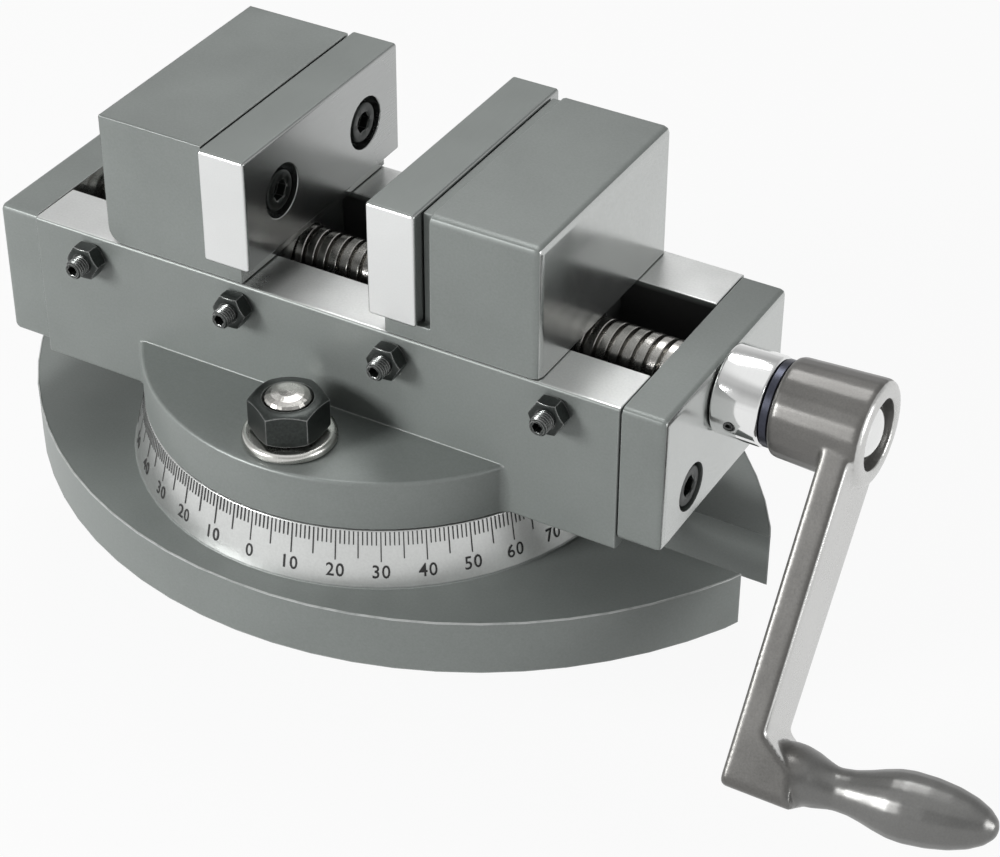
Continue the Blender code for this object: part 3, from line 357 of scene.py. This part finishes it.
# The channel's near-black colour is painted shade; the rail tops are ground.
bed_cast = metal(
    "satin_casting_bed", GREY, 0.3, 0.4, edge_wear_and_highlight=0.55,
    zones=((rail_top, (0.70, 0.71, 0.70), 0.95, 0.28), (channel, (0.012, 0.012, 0.012), 0.0, 0.7)),
)
base_cast = metal(
    "satin_casting_base", GREY, 0.3, 0.4, edge_wear_and_highlight=0.55, zones=((cone, (0.6, 0.61, 0.6), 0.9, 0.3),)
)
plate_steel = metal(
    "ground_plate", (0.40, 0.41, 0.405), 0.95, 0.22, grain=2400, bite=1.5e-6, blotch=0.05, edge_wear_and_highlight=0.4,
    lines=(1, 0.06, 1), zones=((plate_top, GREY, 0.3, 0.38), (plate_end, (0.72, 0.73, 0.725), 0.9, 0.3)),
)
turned_steel = metal(
    "turned_steel", (0.52, 0.525, 0.52), 0.95, 0.27, grain=2600, bite=4e-6, lines=(0.08, 0.08, 1)
)
dark_steel = metal("dark_steel", (0.06, 0.062, 0.06), 0.9, 0.35)
screw_steel = metal("screw_steel", (0.46, 0.45, 0.43), 1.0, 0.24, grain=1500, bite=4e-6, blotch=0.16)
chrome = metal(
    "polished_steel", (0.80, 0.805, 0.80), 1.0, 0.08, grain=2600, bite=1e-6, blotch=0.02, lines=(1, 0.1, 0.1)
)
# The outer side's lighter colour is a painted sheen.
crank_finish = metal(
    "crank_casting", (0.125, 0.122, 0.116), 0.45, 0.3, grain=1700, bite=1e-5, blotch=0.16, edge_wear_and_highlight=0.35,
    zones=((knob, (0.17, 0.17, 0.165), 0.75, 0.3), (crank_outer, (0.56, 0.56, 0.55), 0.9, 0.25)),
)
black = metal(
    "blackened_steel", (0.022, 0.026, 0.024), 0.6, 0.3, grain=1300, bite=2.5e-5, blotch=0.5, edge_wear_and_highlight=0.8,
    edge=0.0006,
)
dark_ring = metal("blued_steel", (0.05, 0.053, 0.07), 0.9, 0.3, blotch=0.2)
bright = metal("zinc_washer", (0.60, 0.60, 0.57), 1.0, 0.25, grain=1800, bite=6e-6)
ink = metal("scale_filling", (0.018, 0.018, 0.018), 0.0, 0.6, blotch=0.2)
print(len(bpy.data.materials), "finishes made")

# %% [markdown]
# ## Blocks with broken edges
#
# The bed, base, jaws and plates are machined castings: plain solids whose corners have been broken with a
# file. Their solids are right already, so a copy is merged and its edges are rounded a little. Real edges
# are never sharp, and that small round is what catches the light in the picture.

# %% Seat a piece on its body
def settle(obj, body, finish, slot, *nodes):
    """Links a piece, gives it its material, seats it on its body, and hides its CAD nodes; the slot is not
    used.
    """
    if obj.name not in scene.collection.objects:
        scene.collection.objects.link(obj)
    obj.data.materials.clear()
    obj.data.materials.append(finish)
    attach(obj, body)
    if nodes:
        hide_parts(*nodes)
    return obj


# %% Copy a solid
SHARP, CREASE, FLAT = (math.radians(angle) for angle in (32, 40, 0.6))
WELD = 1e-6


def merged_copy(node):
    """A bmesh of one CAD node with its loose triangles merged and its flat faces joined."""
    bm = bmesh.new()
    bm.from_mesh(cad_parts[node].data)
    bmesh.ops.remove_doubles(bm, verts=bm.verts, dist=WELD)
    bmesh.ops.dissolve_limit(bm, angle_limit=FLAT, verts=bm.verts, edges=bm.edges)
    return bm


def mesh_of(name, bm):
    """Turns a bmesh into a mesh, without the normals that came with a solid."""
    mesh = bpy.data.meshes.new(name)
    bm.to_mesh(mesh)
    bm.free()
    if "custom_normal" in mesh.attributes:
        mesh.attributes.remove(mesh.attributes["custom_normal"])
    return mesh


def points_of(mesh):
    """A mesh's points as an array with a row for each."""
    flat = np.empty(len(mesh.vertices) * 3)
    mesh.vertices.foreach_get("co", flat)
    return flat.reshape(-1, 3)


# %% Round a solid's edges
def softened(node, width):
    """A node's solid with its sharp edges rounded to `width`, apart from those that stand on the table.

    The bevel may push a point a little past the solid, so every point is held in the solid's box.
    """
    bm = merged_copy(node)
    edges = [
        e for e in bm.edges
        if len(e.link_faces) == 2 and e.calc_face_angle(0) > SHARP and max(v.co.z for v in e.verts) > width
    ]
    bmesh.ops.bevel(
        bm, geom=edges, offset=width, offset_type="OFFSET", segments=3, profile=0.5, affect="EDGES",
        clamp_overlap=False,
    )
    mesh = mesh_of(node + "_softened", bm)
    low, high = (np.array(corner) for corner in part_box(node))
    mesh.vertices.foreach_set("co", np.clip(points_of(mesh), low, high).ravel())
    mesh.update()
    mesh.shade_smooth()
    mesh.set_sharp_from_angle(angle=CREASE)
    obj = bpy.data.objects.new(node + "_softened", mesh)
    weigh = obj.modifiers.new("flat faces lead", "WEIGHTED_NORMAL")
    weigh.keep_sharp, weigh.weight = True, 100
    return obj


BLOCKS = [
    ("swivel_base", 0.35, "base", base_cast, "cast_grey"),
    ("vise_bed", 0.35, "bed", bed_cast, "cast_grey"),
    ("end_plate_right", 0.3, "bed", cast, "cast_grey"),
    ("end_plate_left", 0.3, "bed", cast, "cast_grey"),
    ("jaw_block_right", 0.3, "right_jaw", cast, "cast_grey"),
    ("jaw_block_left", 0.3, "left_jaw", cast, "cast_grey"),
    ("jaw_plate_right", 0.35, "right_jaw", plate_steel, "ground_steel"),
    ("jaw_plate_left", 0.35, "left_jaw", plate_steel, "ground_steel"),
]
for node, width, body, finish, slot in BLOCKS:
    piece = settle(softened(node, width * MM), body, finish, slot, node)
    print(piece.name, len(piece.data.vertices), "points")

# %% Dress the solids that stay
KEPT = {
    "pivot_spigot": turned_steel,
    "gib_strip": dark_steel,
    "jaw_nut_right": dark_steel,
    "jaw_nut_left": dark_steel,
    "clamp_bolt_front": screw_steel,
    "clamp_bolt_rear": screw_steel,
}
for node, finish in KEPT.items():
    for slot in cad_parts[node].material_slots:
        slot.material = finish
print(len(KEPT), "solids kept")

# %% [markdown]
# ## Turned pieces
#
# Anything from a lathe is a profile carried round an axis: a table of (height, radius) and a ring of angles
# give a grid of points at once. A hexagon is the same grid with a radius that depends on the angle, so a
# nut or a socket needs no other tool.

# %% Carry profiles round an axis
AXES = {
    "+z": ((1, 0, 0), (0, 1, 0), (0, 0, 1)),
    "+x": ((0, 1, 0), (0, 0, 1), (1, 0, 0)),
    "-x": ((0, 1, 0), (0, 0, -1), (-1, 0, 0)),
    "-y": ((1, 0, 0), (0, 0, 1), (0, -1, 0)),
}
SEAM = 2e-7


def ring_of(steps):
    """Angles once round, the last on top of the first."""
    return np.linspace(0, 2 * math.pi, steps + 1)


def six_sided(flat, angles, corner=0.0):
    """A hexagon's radius: half its width across flats over the cosine of the angle from a flat's middle."""
    return flat / np.cos((angles - corner) % (math.pi / 3) - math.pi / 6)


def rows_of(stations, angles):
    """Rows of (height, radius); a station is (height, radius) or (height, half width, "hex")."""
    rows = []
    for height, radius, *kind in stations:
        around = six_sided(radius, angles) if kind else np.full(angles.shape, float(radius))
        rows.append(np.stack([np.full(angles.shape, float(height)), around], -1))
    return np.array(rows)


def closed(name, bm):
    """Merges doubles, drops empty faces, turns normals outwards, and shades smooth between sharp edges."""
    bmesh.ops.remove_doubles(bm, verts=bm.verts, dist=SEAM)
    bmesh.ops.dissolve_degenerate(bm, edges=bm.edges, dist=SEAM)
    bmesh.ops.recalc_face_normals(bm, faces=bm.faces)
    mesh = mesh_of(name, bm)
    mesh.shade_smooth()
    mesh.set_sharp_from_angle(angle=SHARP)
    return bpy.data.objects.new(name, mesh)


def surface(name, rows, angles, origin, axis):
    """A closed surface from rows of (height, radius) in millimetres.

    x = radius * cos t, y = radius * sin t and z = height, then laid along an axis from the origin.
    """
    height, radius = rows[..., 0], rows[..., 1]
    local = np.stack([radius * np.cos(angles), radius * np.sin(angles), height], -1)
    points = (local @ np.array(AXES[axis], float) + np.array(origin, float)) * MM
    along, across = points.shape[:2]
    first = (np.arange(along - 1)[:, None] * across + np.arange(across - 1)).ravel()
    faces = np.stack([first, first + 1, first + 1 + across, first + across], -1)
    bm = bmesh.new()
    mesh = bpy.data.meshes.new("draft")
    mesh.from_pydata(points.reshape(-1, 3).tolist(), [], faces.tolist())
    bm.from_mesh(mesh)
    bpy.data.meshes.remove(mesh)
    return closed(name, bm)


def rounded_corner(height, radius, size, steps=4, up=True):
    """Stations of a quarter round, from the wall to the end face (up) or from the face to the wall."""
    t = np.linspace(0, math.pi / 2, steps + 1)
    if up:
        return [(height - size + size * math.sin(a), radius - size + size * math.cos(a)) for a in t]
    return [(height + size - size * math.cos(a), radius - size + size * math.sin(a)) for a in t]


# %% Collar and spacer
ROUND = ring_of(96)
SCREW_Z = sum(span("lead_screw"))[2] / 2
SCREW_LINE = (0, 0, SCREW_Z)
BORE, COLLAR_EDGE, SPACER_EDGE = 5.8, 1.2, 0.2


def turned_piece(name, stations, origin=SCREW_LINE, axis="+x"):
    """A closed turned piece from a station table."""
    return surface(name, rows_of(stations, ROUND), ROUND, origin, axis)


def end_and_radius(node):
    """Where a piece on the screw's line starts and ends along it, and its radius."""
    low, high = span(node)
    return low[0], high[0], (high[1] - low[1]) / 2


start, end, radius = end_and_radius("thrust_collar")
collar = [(start, BORE), (start, radius - COLLAR_EDGE)]
collar += rounded_corner(start, radius, COLLAR_EDGE, up=False) + rounded_corner(end, radius, COLLAR_EDGE)
collar += [(end, BORE), (start, BORE)]
settle(turned_piece("thrust_collar_bright", collar), "screw", chrome, "polished_steel", "thrust_collar")
start, end, radius = end_and_radius("spacer_ring")
spacer = [
    (start, BORE), (start, radius - SPACER_EDGE), (start + SPACER_EDGE, radius),
    (end - SPACER_EDGE, radius), (end, radius - SPACER_EDGE), (end, BORE), (start, BORE),
]
settle(turned_piece("spacer_ring_blued", spacer), "screw", dark_ring, "black_oxide", "spacer_ring")
print("collar and spacer turned")

# %% [markdown]
# ## Threads
#
# A thread is the same lathe grid with its rows slid along the axis as they go round. Each row is a helix,
# so the crest's edges lie exactly on rows and stay crisp. Where a row would run past the end of the
# thread it is held at the end plane, with the radius that the thread has there.

# %% A helical surface
CREST_DROP_SHARE = 0.08


def threaded(low, high, root, crest, pitch, angles, hand=1, crest_share=0.6, base_share=0.8, edge=0.03):
    """Rows of (height, radius) of a thread between two planes.

    height = row + hand * pitch * t / 2 pi, held between low and high, and the radius is a trapezoid of the
    distance from the helix, with the corners of its crest eased.
    """
    eased = crest - (crest - root) * CREST_DROP_SHARE
    corners = np.array([base_share / 2, crest_share / 2 + edge, crest_share / 2 - edge])
    places = np.concatenate([-corners, corners[::-1]])
    radii = [root, eased, crest, crest, eased, root]
    slide = hand * pitch * angles / (2 * math.pi)
    first, last = math.floor(low / pitch) - 2, math.ceil(high / pitch) + 2
    starts = (np.arange(first, last)[:, None] + places).ravel() * pitch
    height = np.clip(starts[:, None] + slide, low, high)
    turn_share = ((height - slide) / pitch + 0.5) % 1 - 0.5
    return np.stack([height, np.interp(turn_share, places, radii)], -1)


# %% The lead screw
TURN = ring_of(72)
PITCH, CREST, ROOT, JOURNAL = 4.0, 9.0, 7.0, 5.5
BAND, BAND_RADIUS, BAND_EDGE = 1.3, 9.2, 0.2
THREAD_END, TIP_EDGE = 101.0, 0.4


def half_screw(end):
    """Rows of one half: middle band, left-handed thread and journal; a mirrored half is right-handed."""
    band = [(0, BAND_RADIUS), (BAND - BAND_EDGE, BAND_RADIUS), (BAND, BAND_RADIUS - BAND_EDGE)]
    journal = [(THREAD_END, JOURNAL), (end - TIP_EDGE, JOURNAL), (end, JOURNAL - TIP_EDGE), (end, 0)]
    return np.concatenate([
        rows_of(band, TURN),
        threaded(BAND, THREAD_END, ROOT, CREST, PITCH, TURN, hand=-1),
        rows_of(journal, TURN),
    ])


start, end, _ = end_and_radius("lead_screw")
right_half, left_half = half_screw(end), half_screw(-start)
left_half[..., 0] *= -1
lead = surface("lead_screw_cut", np.concatenate([left_half[::-1], right_half]), TURN, SCREW_LINE, "+x")
settle(lead, "screw", screw_steel, "machined_steel", "lead_screw")
print("lead screw", len(lead.data.polygons), "faces")

# %% [markdown]
# ## Fasteners
#
# Nuts are hexagons whose corners a cone has trimmed. The set screws show their thread and a socket, and the
# cap screws a head with a rounded edge and a hexagon socket. The swivel's studs keep their solids, and each
# gets a rounded washer and a nut.

# %% Nuts
HEX = ring_of(48)
FACE_SHARE, TRIM_SLOPE, BORE_EDGE = 0.95, math.tan(math.radians(30)), 0.5


def trimmed(flat, height, corner):
    """A hexagon's upper edge, height - max(0, r - foot) * slope for its radius r and the cone's foot."""
    around = six_sided(flat, HEX, corner)
    return np.stack([height - np.maximum(0, around - flat * FACE_SHARE) * TRIM_SLOPE, around], -1)


def nut(name, flat, bore, thick, corner, origin, axis):
    """A hexagon nut from one face to the other, with trimmed corners and a chamfered bore."""
    low = trimmed(flat, 0, corner)
    low[:, 0] *= -1
    face, mouth = flat * FACE_SHARE, bore + BORE_EDGE
    rows = np.concatenate([
        rows_of([(BORE_EDGE, bore), (0, mouth), (0, face)], HEX),
        low[None], trimmed(flat, thick, corner)[None],
        rows_of([(thick, face), (thick, mouth), (thick - BORE_EDGE, bore), (BORE_EDGE, bore)], HEX),
    ])
    return surface(name, rows, HEX, origin, axis)


# %% Gib screws and their lock nuts
LOCK_BORE, GIB_PITCH, GIB_SOCKET = 2.7, 1.0, 1.5
ROD_EDGE, ROD_FACE_SHARE, ROD_ROOT_SHARE = 0.6, 0.80, 0.82
MOUTH_WIDE, MOUTH_DEEP, SOCKET_DEEP, DRILL_POINT = 0.35, 0.2, 3.0, 0.6


def set_screw(name, radius, pitch, length, socket, origin, axis):
    """A threaded rod with a chamfered end and a hexagon socket in it."""
    bottom, root = length - SOCKET_DEEP, radius * ROD_ROOT_SHARE
    shape = [
        (length, radius * ROD_FACE_SHARE), (length, socket + MOUTH_WIDE),
        (length - MOUTH_DEEP, socket, "hex"), (bottom, socket, "hex"), (bottom - DRILL_POINT, 0),
    ]
    rows = np.concatenate([
        rows_of([(0, 0)], HEX),
        threaded(0, length - ROD_EDGE, root, radius, pitch, HEX, crest_share=0.2, edge=0.02),
        rows_of(shape, HEX),
    ])
    return surface(name, rows, HEX, origin, axis)


for number in range(1, 5):
    low, high = span(f"lock_nut_{number}")
    x, _, z = (low + high) / 2
    flat, thick = (high[2] - low[2]) / 2, high[1] - low[1]
    settle(
        nut(f"lock_nut_{number}_cut", flat, LOCK_BORE, thick, 0.0, (x, high[1], z), "-y"),
        "bed", black, "black_oxide", f"lock_nut_{number}",
    )
    low, high = span(f"gib_screw_{number}")
    radius, length = (high[2] - low[2]) / 2, high[1] - low[1]
    settle(
        set_screw(f"gib_screw_{number}_cut", radius, GIB_PITCH, length, GIB_SOCKET, (x, high[1], z), "-y"),
        "bed", black, "black_oxide", f"gib_screw_{number}",
    )
print("lock nuts and set screws made")

# %% Cap screws
HEAD, HEAD_HIGH, SHANK, SOCKET = 6.5, 8.0, 4.0, 3.0
SHANK_EDGE, SEAT_EDGE, HEAD_EDGE = 0.5, 0.3, 0.8
SOCKET_WIDE, SOCKET_EDGE, SOCKET_POINT = 0.6, 0.3, 0.8


def cap_screw(name, length, origin, axis):
    """A socket cap screw: shank, seat, head with a rounded edge, and its hexagon socket."""
    shank = [(-length, 0), (-length, SHANK - SHANK_EDGE), (-length + SHANK_EDGE, SHANK), (0, SHANK)]
    head = [(0, HEAD - SEAT_EDGE), (SEAT_EDGE, HEAD)] + rounded_corner(HEAD_HIGH, HEAD, HEAD_EDGE)
    socket = [
        (HEAD_HIGH, SOCKET + SOCKET_WIDE), (HEAD_HIGH - SOCKET_EDGE, SOCKET, "hex"),
        (HEAD_HIGH - SOCKET, SOCKET, "hex"), (HEAD_HIGH - SOCKET - SOCKET_POINT, 0),
    ]
    return surface(name, rows_of(shank + head + socket, HEX), HEX, origin, axis)


def headed(node, body, axis):
    """A cap screw that fills the box of its CAD node, with its head at the axis's far end."""
    low, high = span(node)
    way = np.array(AXES[axis][2])
    reach = abs(way @ (high - low))
    seat = (low + high) / 2 + way * (reach / 2 - HEAD_HIGH)
    settle(cap_screw(node + "_cut", reach - HEAD_HIGH, seat, axis), body, black, "black_oxide", node)


for side, inward in (("right", "-x"), ("left", "+x")):
    for row in ("front", "back"):
        headed(f"jaw_screw_{side}_{row}", f"{side}_jaw", inward)
for side, outward in (("right", "+x"), ("left", "-x")):
    for row in ("front", "back"):
        headed(f"end_screw_{side}_{row}", "bed", outward)
print("8 cap screws made")

# %% Washers and nuts of the swivel clamps
WASHER_BORE, WASHER_FOOT, WASHER_ROUND, CLAMP_BORE = 7.4, 0.3, 1.5, 7.25
for place in ("front", "rear"):
    low, high = span(f"clamp_washer_{place}")
    x, y, _ = (low + high) / 2
    radius, thick = (high[0] - low[0]) / 2, high[2] - low[2]
    washer = [(0, WASHER_BORE), (0, radius - WASHER_FOOT), (WASHER_FOOT, radius)]
    washer += rounded_corner(thick, radius, WASHER_ROUND, 6) + [(thick, WASHER_BORE), (0, WASHER_BORE)]
    settle(
        turned_piece(f"clamp_washer_{place}_bright", washer, (x, y, low[2]), "+z"),
        "bed", bright, "polished_steel", f"clamp_washer_{place}",
    )
    low, high = span(f"clamp_nut_{place}")
    flat, thick = (high[0] - low[0]) / 2, high[2] - low[2]
    settle(
        nut(f"clamp_nut_{place}_cut", flat, CLAMP_BORE, thick, math.pi / 2, (x, y, low[2]), "+z"),
        "bed", black, "black_oxide", f"clamp_nut_{place}",
    )
print("swivel clamps made")

# %% [markdown]
# ## The crank
#
# Hub, arm, heel and knob are one rough casting, so no edge on it is crisp and its parts flow into each
# other. The quickest honest way is to take the solid, wrap it in a fine even skin, and let that skin relax:
# every inner corner becomes a fillet and every outer one a round. The solid's knob stands plainly on the
# heel, while the real one spreads into it, so a flared root is added before the skin goes on.

# %% The knob's root
KNOB_DROP, TILT, LEAN = 98.9, math.radians(35.6), math.radians(6.4)
# place along the knob, half width, half height and lift towards the hub, in millimetres
FLARE = np.array([
    (-9, 0.3, 0.3, 1.2), (-9, 10.9, 8.6, 1.3), (-6, 11.2, 8.9, 1.3), (-3, 11.3, 8.7, 1.2),
    (-1, 11.0, 8.2, 1.1), (1, 10.2, 7.7, 1.0), (3, 8.8, 7.1, 0.7), (5, 7.6, 6.6, 0.4),
    (7, 6.7, 6.2, 0.1), (9, 6.0, 6.0, 0), (9, 0.3, 0.3, 0),
])


def knob_flare():
    """The root that spreads from the knob's waist to the heel's whole width.

    A ring is foot + p * along + a cos t * side + (b sin t + c) * up, for the row (p, a, b, c).
    """
    ahead = np.array([1, 0, 0])
    down = np.array([0, -math.sin(TILT), -math.cos(TILT)])
    side = np.array([0, math.cos(TILT), -math.sin(TILT)])
    along = math.cos(LEAN) * ahead - math.sin(LEAN) * down
    up = -math.cos(LEAN) * down - math.sin(LEAN) * ahead
    foot = KNOB_X * ahead + np.array(SCREW_LINE) + KNOB_DROP * down
    p, a, b, c = (FLARE[:, i, None, None] for i in range(4))
    t = HEX[None, :-1, None]
    points = foot + p * along + a * np.cos(t) * side + (b * np.sin(t) + c) * up
    rows, across = points.shape[:2]
    ring = np.arange(across)
    first = np.arange(rows - 1)[:, None] * across + ring
    second = np.arange(rows - 1)[:, None] * across + (ring + 1) % across
    faces = np.stack([first, second, second + across, first + across], -1).reshape(-1, 4).tolist()
    faces += [ring[::-1].tolist(), ((rows - 1) * across + ring).tolist()]
    mesh = bpy.data.meshes.new("knob_flare")
    mesh.from_pydata((points.reshape(-1, 3) * MM).tolist(), [], faces)
    return mesh


# %% Cast the crank
SKIN_CELL, SKIN_EASE = 0.0006, 8


def cast_skin(node, addition):
    """The node's solid with what is added to it, remeshed in even cells and smoothed."""
    bm = merged_copy(node)
    bm.from_mesh(addition)
    bpy.data.meshes.remove(addition)
    obj = bpy.data.objects.new(node + "_skin", mesh_of(node + "_skin", bm))
    scene.collection.objects.link(obj)
    skin = obj.modifiers.new("even skin", "REMESH")
    skin.mode, skin.voxel_size, skin.use_smooth_shade = "VOXEL", SKIN_CELL, True
    ease = obj.modifiers.new("relax", "SMOOTH")
    ease.factor, ease.iterations = 0.5, SKIN_EASE
    bpy.context.view_layer.update()
    solid = bpy.data.meshes.new_from_object(obj.evaluated_get(bpy.context.evaluated_depsgraph_get()))
    obj.modifiers.clear()
    obj.data = solid
    solid.shade_smooth()
    return obj


crank = cast_skin("crank_handle", knob_flare())
settle(crank, "screw", crank_finish, "crank_metal", "crank_handle")
print("crank", len(crank.data.polygons), "faces")

# %% The domed screw in the hub
DOME_SHANK, DOME_RISE = 2.5, 4.5
start, end, head = end_and_radius("crank_screw")
seat = end - DOME_RISE
dome = [(start, 0), (start, DOME_SHANK), (seat, DOME_SHANK)]
dome += [(seat + DOME_RISE * math.sin(a), head * math.cos(a)) for a in np.linspace(0, math.pi / 2, 16)]
settle(turned_piece("crank_screw_dome", dome), "screw", chrome, "polished_steel", "crank_screw")
print("dome", round(head * 2, 2), "mm across")

# %% [markdown]
# ## The graduated ring
#
# The base carries a turned cone with a degree scale: a short line for every degree, longer ones at five and
# ten, and the numbers of the tens. The lines are filled cuts, made as thin strips laid on the cone: a point
# has an angle round the ring and a share of the way down its side.

# %% Lay the scale on the cone
LIFT, LINE_WIDE, LINE_START_SHARE = 0.05, 0.34, 0.012
TEN_LONG, FIVE_LONG, ONE_LONG = 9.6, 8.6, 4.3
SIDE = np.subtract(RING_FOOT, RING_TOP)
SLANT = math.hypot(*SIDE)
OUT = np.array([-SIDE[1], SIDE[0]]) / SLANT


def on_cone(angle, share):
    """A point from its angle off the front, in radians, and its share of the way down the side.

    Radius and height run in a straight line from the ring's top to its foot, a small lift out from it.
    """
    radius = RING_TOP[0] + SIDE[0] * share + OUT[0] * LIFT
    height = RING_TOP[1] + SIDE[1] * share + OUT[1] * LIFT
    return np.stack([radius * np.sin(angle), -radius * np.cos(angle), height], -1) * MM


def strips(degrees, lengths):
    """One quad for each line: angle +- half the width, from near the ring's top down to its length."""
    angle = np.radians(degrees)[:, None] + LINE_WIDE / RING_TOP[0] / 2 * np.array([-1, 1, 1, -1])
    share = LINE_START_SHARE + lengths[:, None] / SLANT * np.array([0, 0, 1, 1])
    return on_cone(angle, share).reshape(-1, 3)


degrees = np.arange(-90, 91)
lengths = np.where(degrees % 10 == 0, TEN_LONG, np.where(degrees % 5 == 0, FIVE_LONG, ONE_LONG))
line_points = strips(degrees, lengths)
lines = bpy.data.meshes.new("scale_lines")
lines.from_pydata(line_points.tolist(), [], np.arange(len(line_points)).reshape(-1, 4)[:, ::-1].tolist())
print(len(degrees), "lines")

# %% Number the tens
NUMBER_HIGH, NUMBER_NARROW, NUMBER_MIDDLE_SHARE, NUMBER_RADIUS = 4.1, 0.90, 0.70, 79.0
CAPITAL_SHARE, SPACING, BOLD_SHARE = 0.69, 1.12, 0.012
FILLING = 0.06


def digits(text):
    """A flat number in millimetres, centred on the origin, and its faces."""
    curve = bpy.data.curves.new("number", "FONT")
    curve.body, curve.align_x, curve.align_y = text, "CENTER", "CENTER"
    curve.size, curve.space_character, curve.resolution_u = NUMBER_HIGH * MM / CAPITAL_SHARE, SPACING, 3
    curve.offset = NUMBER_HIGH * MM * BOLD_SHARE
    letter = bpy.data.objects.new("number", curve)
    scene.collection.objects.link(letter)
    bpy.context.view_layer.update()
    mesh = bpy.data.meshes.new_from_object(letter)
    bpy.data.objects.remove(letter)
    flat = points_of(mesh)[:, :2] / MM * (NUMBER_NARROW, 1)
    faces = [list(p.vertices) for p in mesh.polygons]
    bpy.data.meshes.remove(mesh)
    return flat - (flat.max(0) + flat.min(0)) / 2, faces


def numbers():
    """All numbers wrapped on the cone: x over a radius is an angle, and y over the slant a share."""
    points, faces = [], []
    for ten in range(-90, 91, 10):
        flat, loops = digits(str(abs(ten)))
        start = sum(len(p) for p in points)
        angle, share = flat[:, 0] / NUMBER_RADIUS, flat[:, 1] / SLANT
        points.append(on_cone(math.radians(ten) + angle, NUMBER_MIDDLE_SHARE - share))
        faces += [[start + i for i in loop] for loop in loops]
    return np.concatenate(points), faces


number_points, number_faces = numbers()
figures = bpy.data.meshes.new("scale_numbers")
figures.from_pydata(number_points.tolist(), [], number_faces)
for mesh in (lines, figures):
    marks = settle(bpy.data.objects.new(mesh.name, mesh), "base", ink, "black_oxide")
    depth = marks.modifiers.new("filling", "SOLIDIFY")
    depth.thickness, depth.offset = FILLING * MM, -1
print(len(number_faces), "faces in the numbers")

# %% [markdown]
# ## Studio
#
# Metal shows its surroundings, so the room matters more than the lamps. The floor and the horizon are
# white, the walls grow darker with height, the middle of the ceiling is white again, and three soft lamps
# give the bright lines along the edges.

# %% The floor
FLOOR_Z, FLOOR_HALF, FLOOR_GLOW = -0.036, 4, 0.93
WHITE = (1, 1, 1, 1)


def pale_floor():
    """A wide floor under the crank's lowest sweep: white to the eye and in reflections, with soft shadows."""
    finish = Finish("pale_floor")
    finish.set(Base_Color=(0.5, 0.5, 0.5, 1), Roughness=0.9)
    seen = finish.ray("Camera").most(finish.ray("Glossy")).most(finish.ray("Transmission"))
    lit = Value(finish, finish.shader.outputs["BSDF"])
    glow = finish.node("ShaderNodeEmission", {}, WHITE, 1.0)
    finish.end(finish.node("ShaderNodeMixShader", {}, seen * FLOOR_GLOW, lit, glow))
    mesh = bpy.data.meshes.new("floor")
    corners = np.array([[-1, -1], [1, -1], [1, 1], [-1, 1]]) * FLOOR_HALF
    mesh.from_pydata(np.c_[corners, np.full(4, FLOOR_Z)].tolist(), [], [[0, 1, 2, 3]])
    mesh.materials.append(finish.material)
    obj = bpy.data.objects.new("floor", mesh)
    scene.collection.objects.link(obj)


pale_floor()
print("floor at", FLOOR_Z)

# %% The room and its lamps
AMBIENT = 0.18
# place from straight down (0) to straight up (1), and how light the room is there
LEVELS = ((0.0, 1.0), (0.52, 0.95), (0.62, 0.7), (0.8, 0.48), (0.88, 0.6), (0.96, 1.0))
TARGET = Vector((0, 0, 0.06))
LAMPS = [
    ("key", (-0.6, -0.9, 0.5), 0.35, 14),
    ("side", (0.9, 0.03, 0.22), 0.35, 3),
    ("top", (-0.25, 0.45, 1.0), 0.4, 4),
]


def room():
    """The world: white to the eye, graded with height for reflections, one even level for soft light."""
    scene.world = bpy.data.worlds.new("room")
    scene.world.use_nodes = True
    air = Wires(scene.world.node_tree)
    air.tree.nodes.remove(air.tree.nodes["Background"])
    way = air.node("ShaderNodeTexCoord", {}, out="Generated")
    height = air.node("ShaderNodeSeparateXYZ", {}, way, out="Z")
    grade = air.node("ShaderNodeValToRGB", {"stops": LEVELS}, height.band(-1, 1))
    graded = air.node("ShaderNodeBackground", {}, grade, 1.0)
    plain = air.node("ShaderNodeBackground", {}, WHITE, 1.0)
    even = air.node("ShaderNodeBackground", {}, WHITE, AMBIENT)
    mirrored = air.ray("Glossy").most(air.ray("Transmission"))
    lit = air.node("ShaderNodeMixShader", {}, mirrored, even, graded)
    air.end(air.node("ShaderNodeMixShader", {}, air.ray("Camera"), lit, plain))


def soft_lamp(name, place, size, energy):
    """A square lamp that faces the vise."""
    lamp = bpy.data.lights.new(name, "AREA")
    lamp.size, lamp.energy = size, energy
    obj = bpy.data.objects.new(name, lamp)
    obj.location = place
    obj.rotation_euler = (TARGET - Vector(place)).to_track_quat("-Z", "Y").to_euler()
    scene.collection.objects.link(obj)


room()
for lamp in LAMPS:
    soft_lamp(*lamp)
print("studio lit")
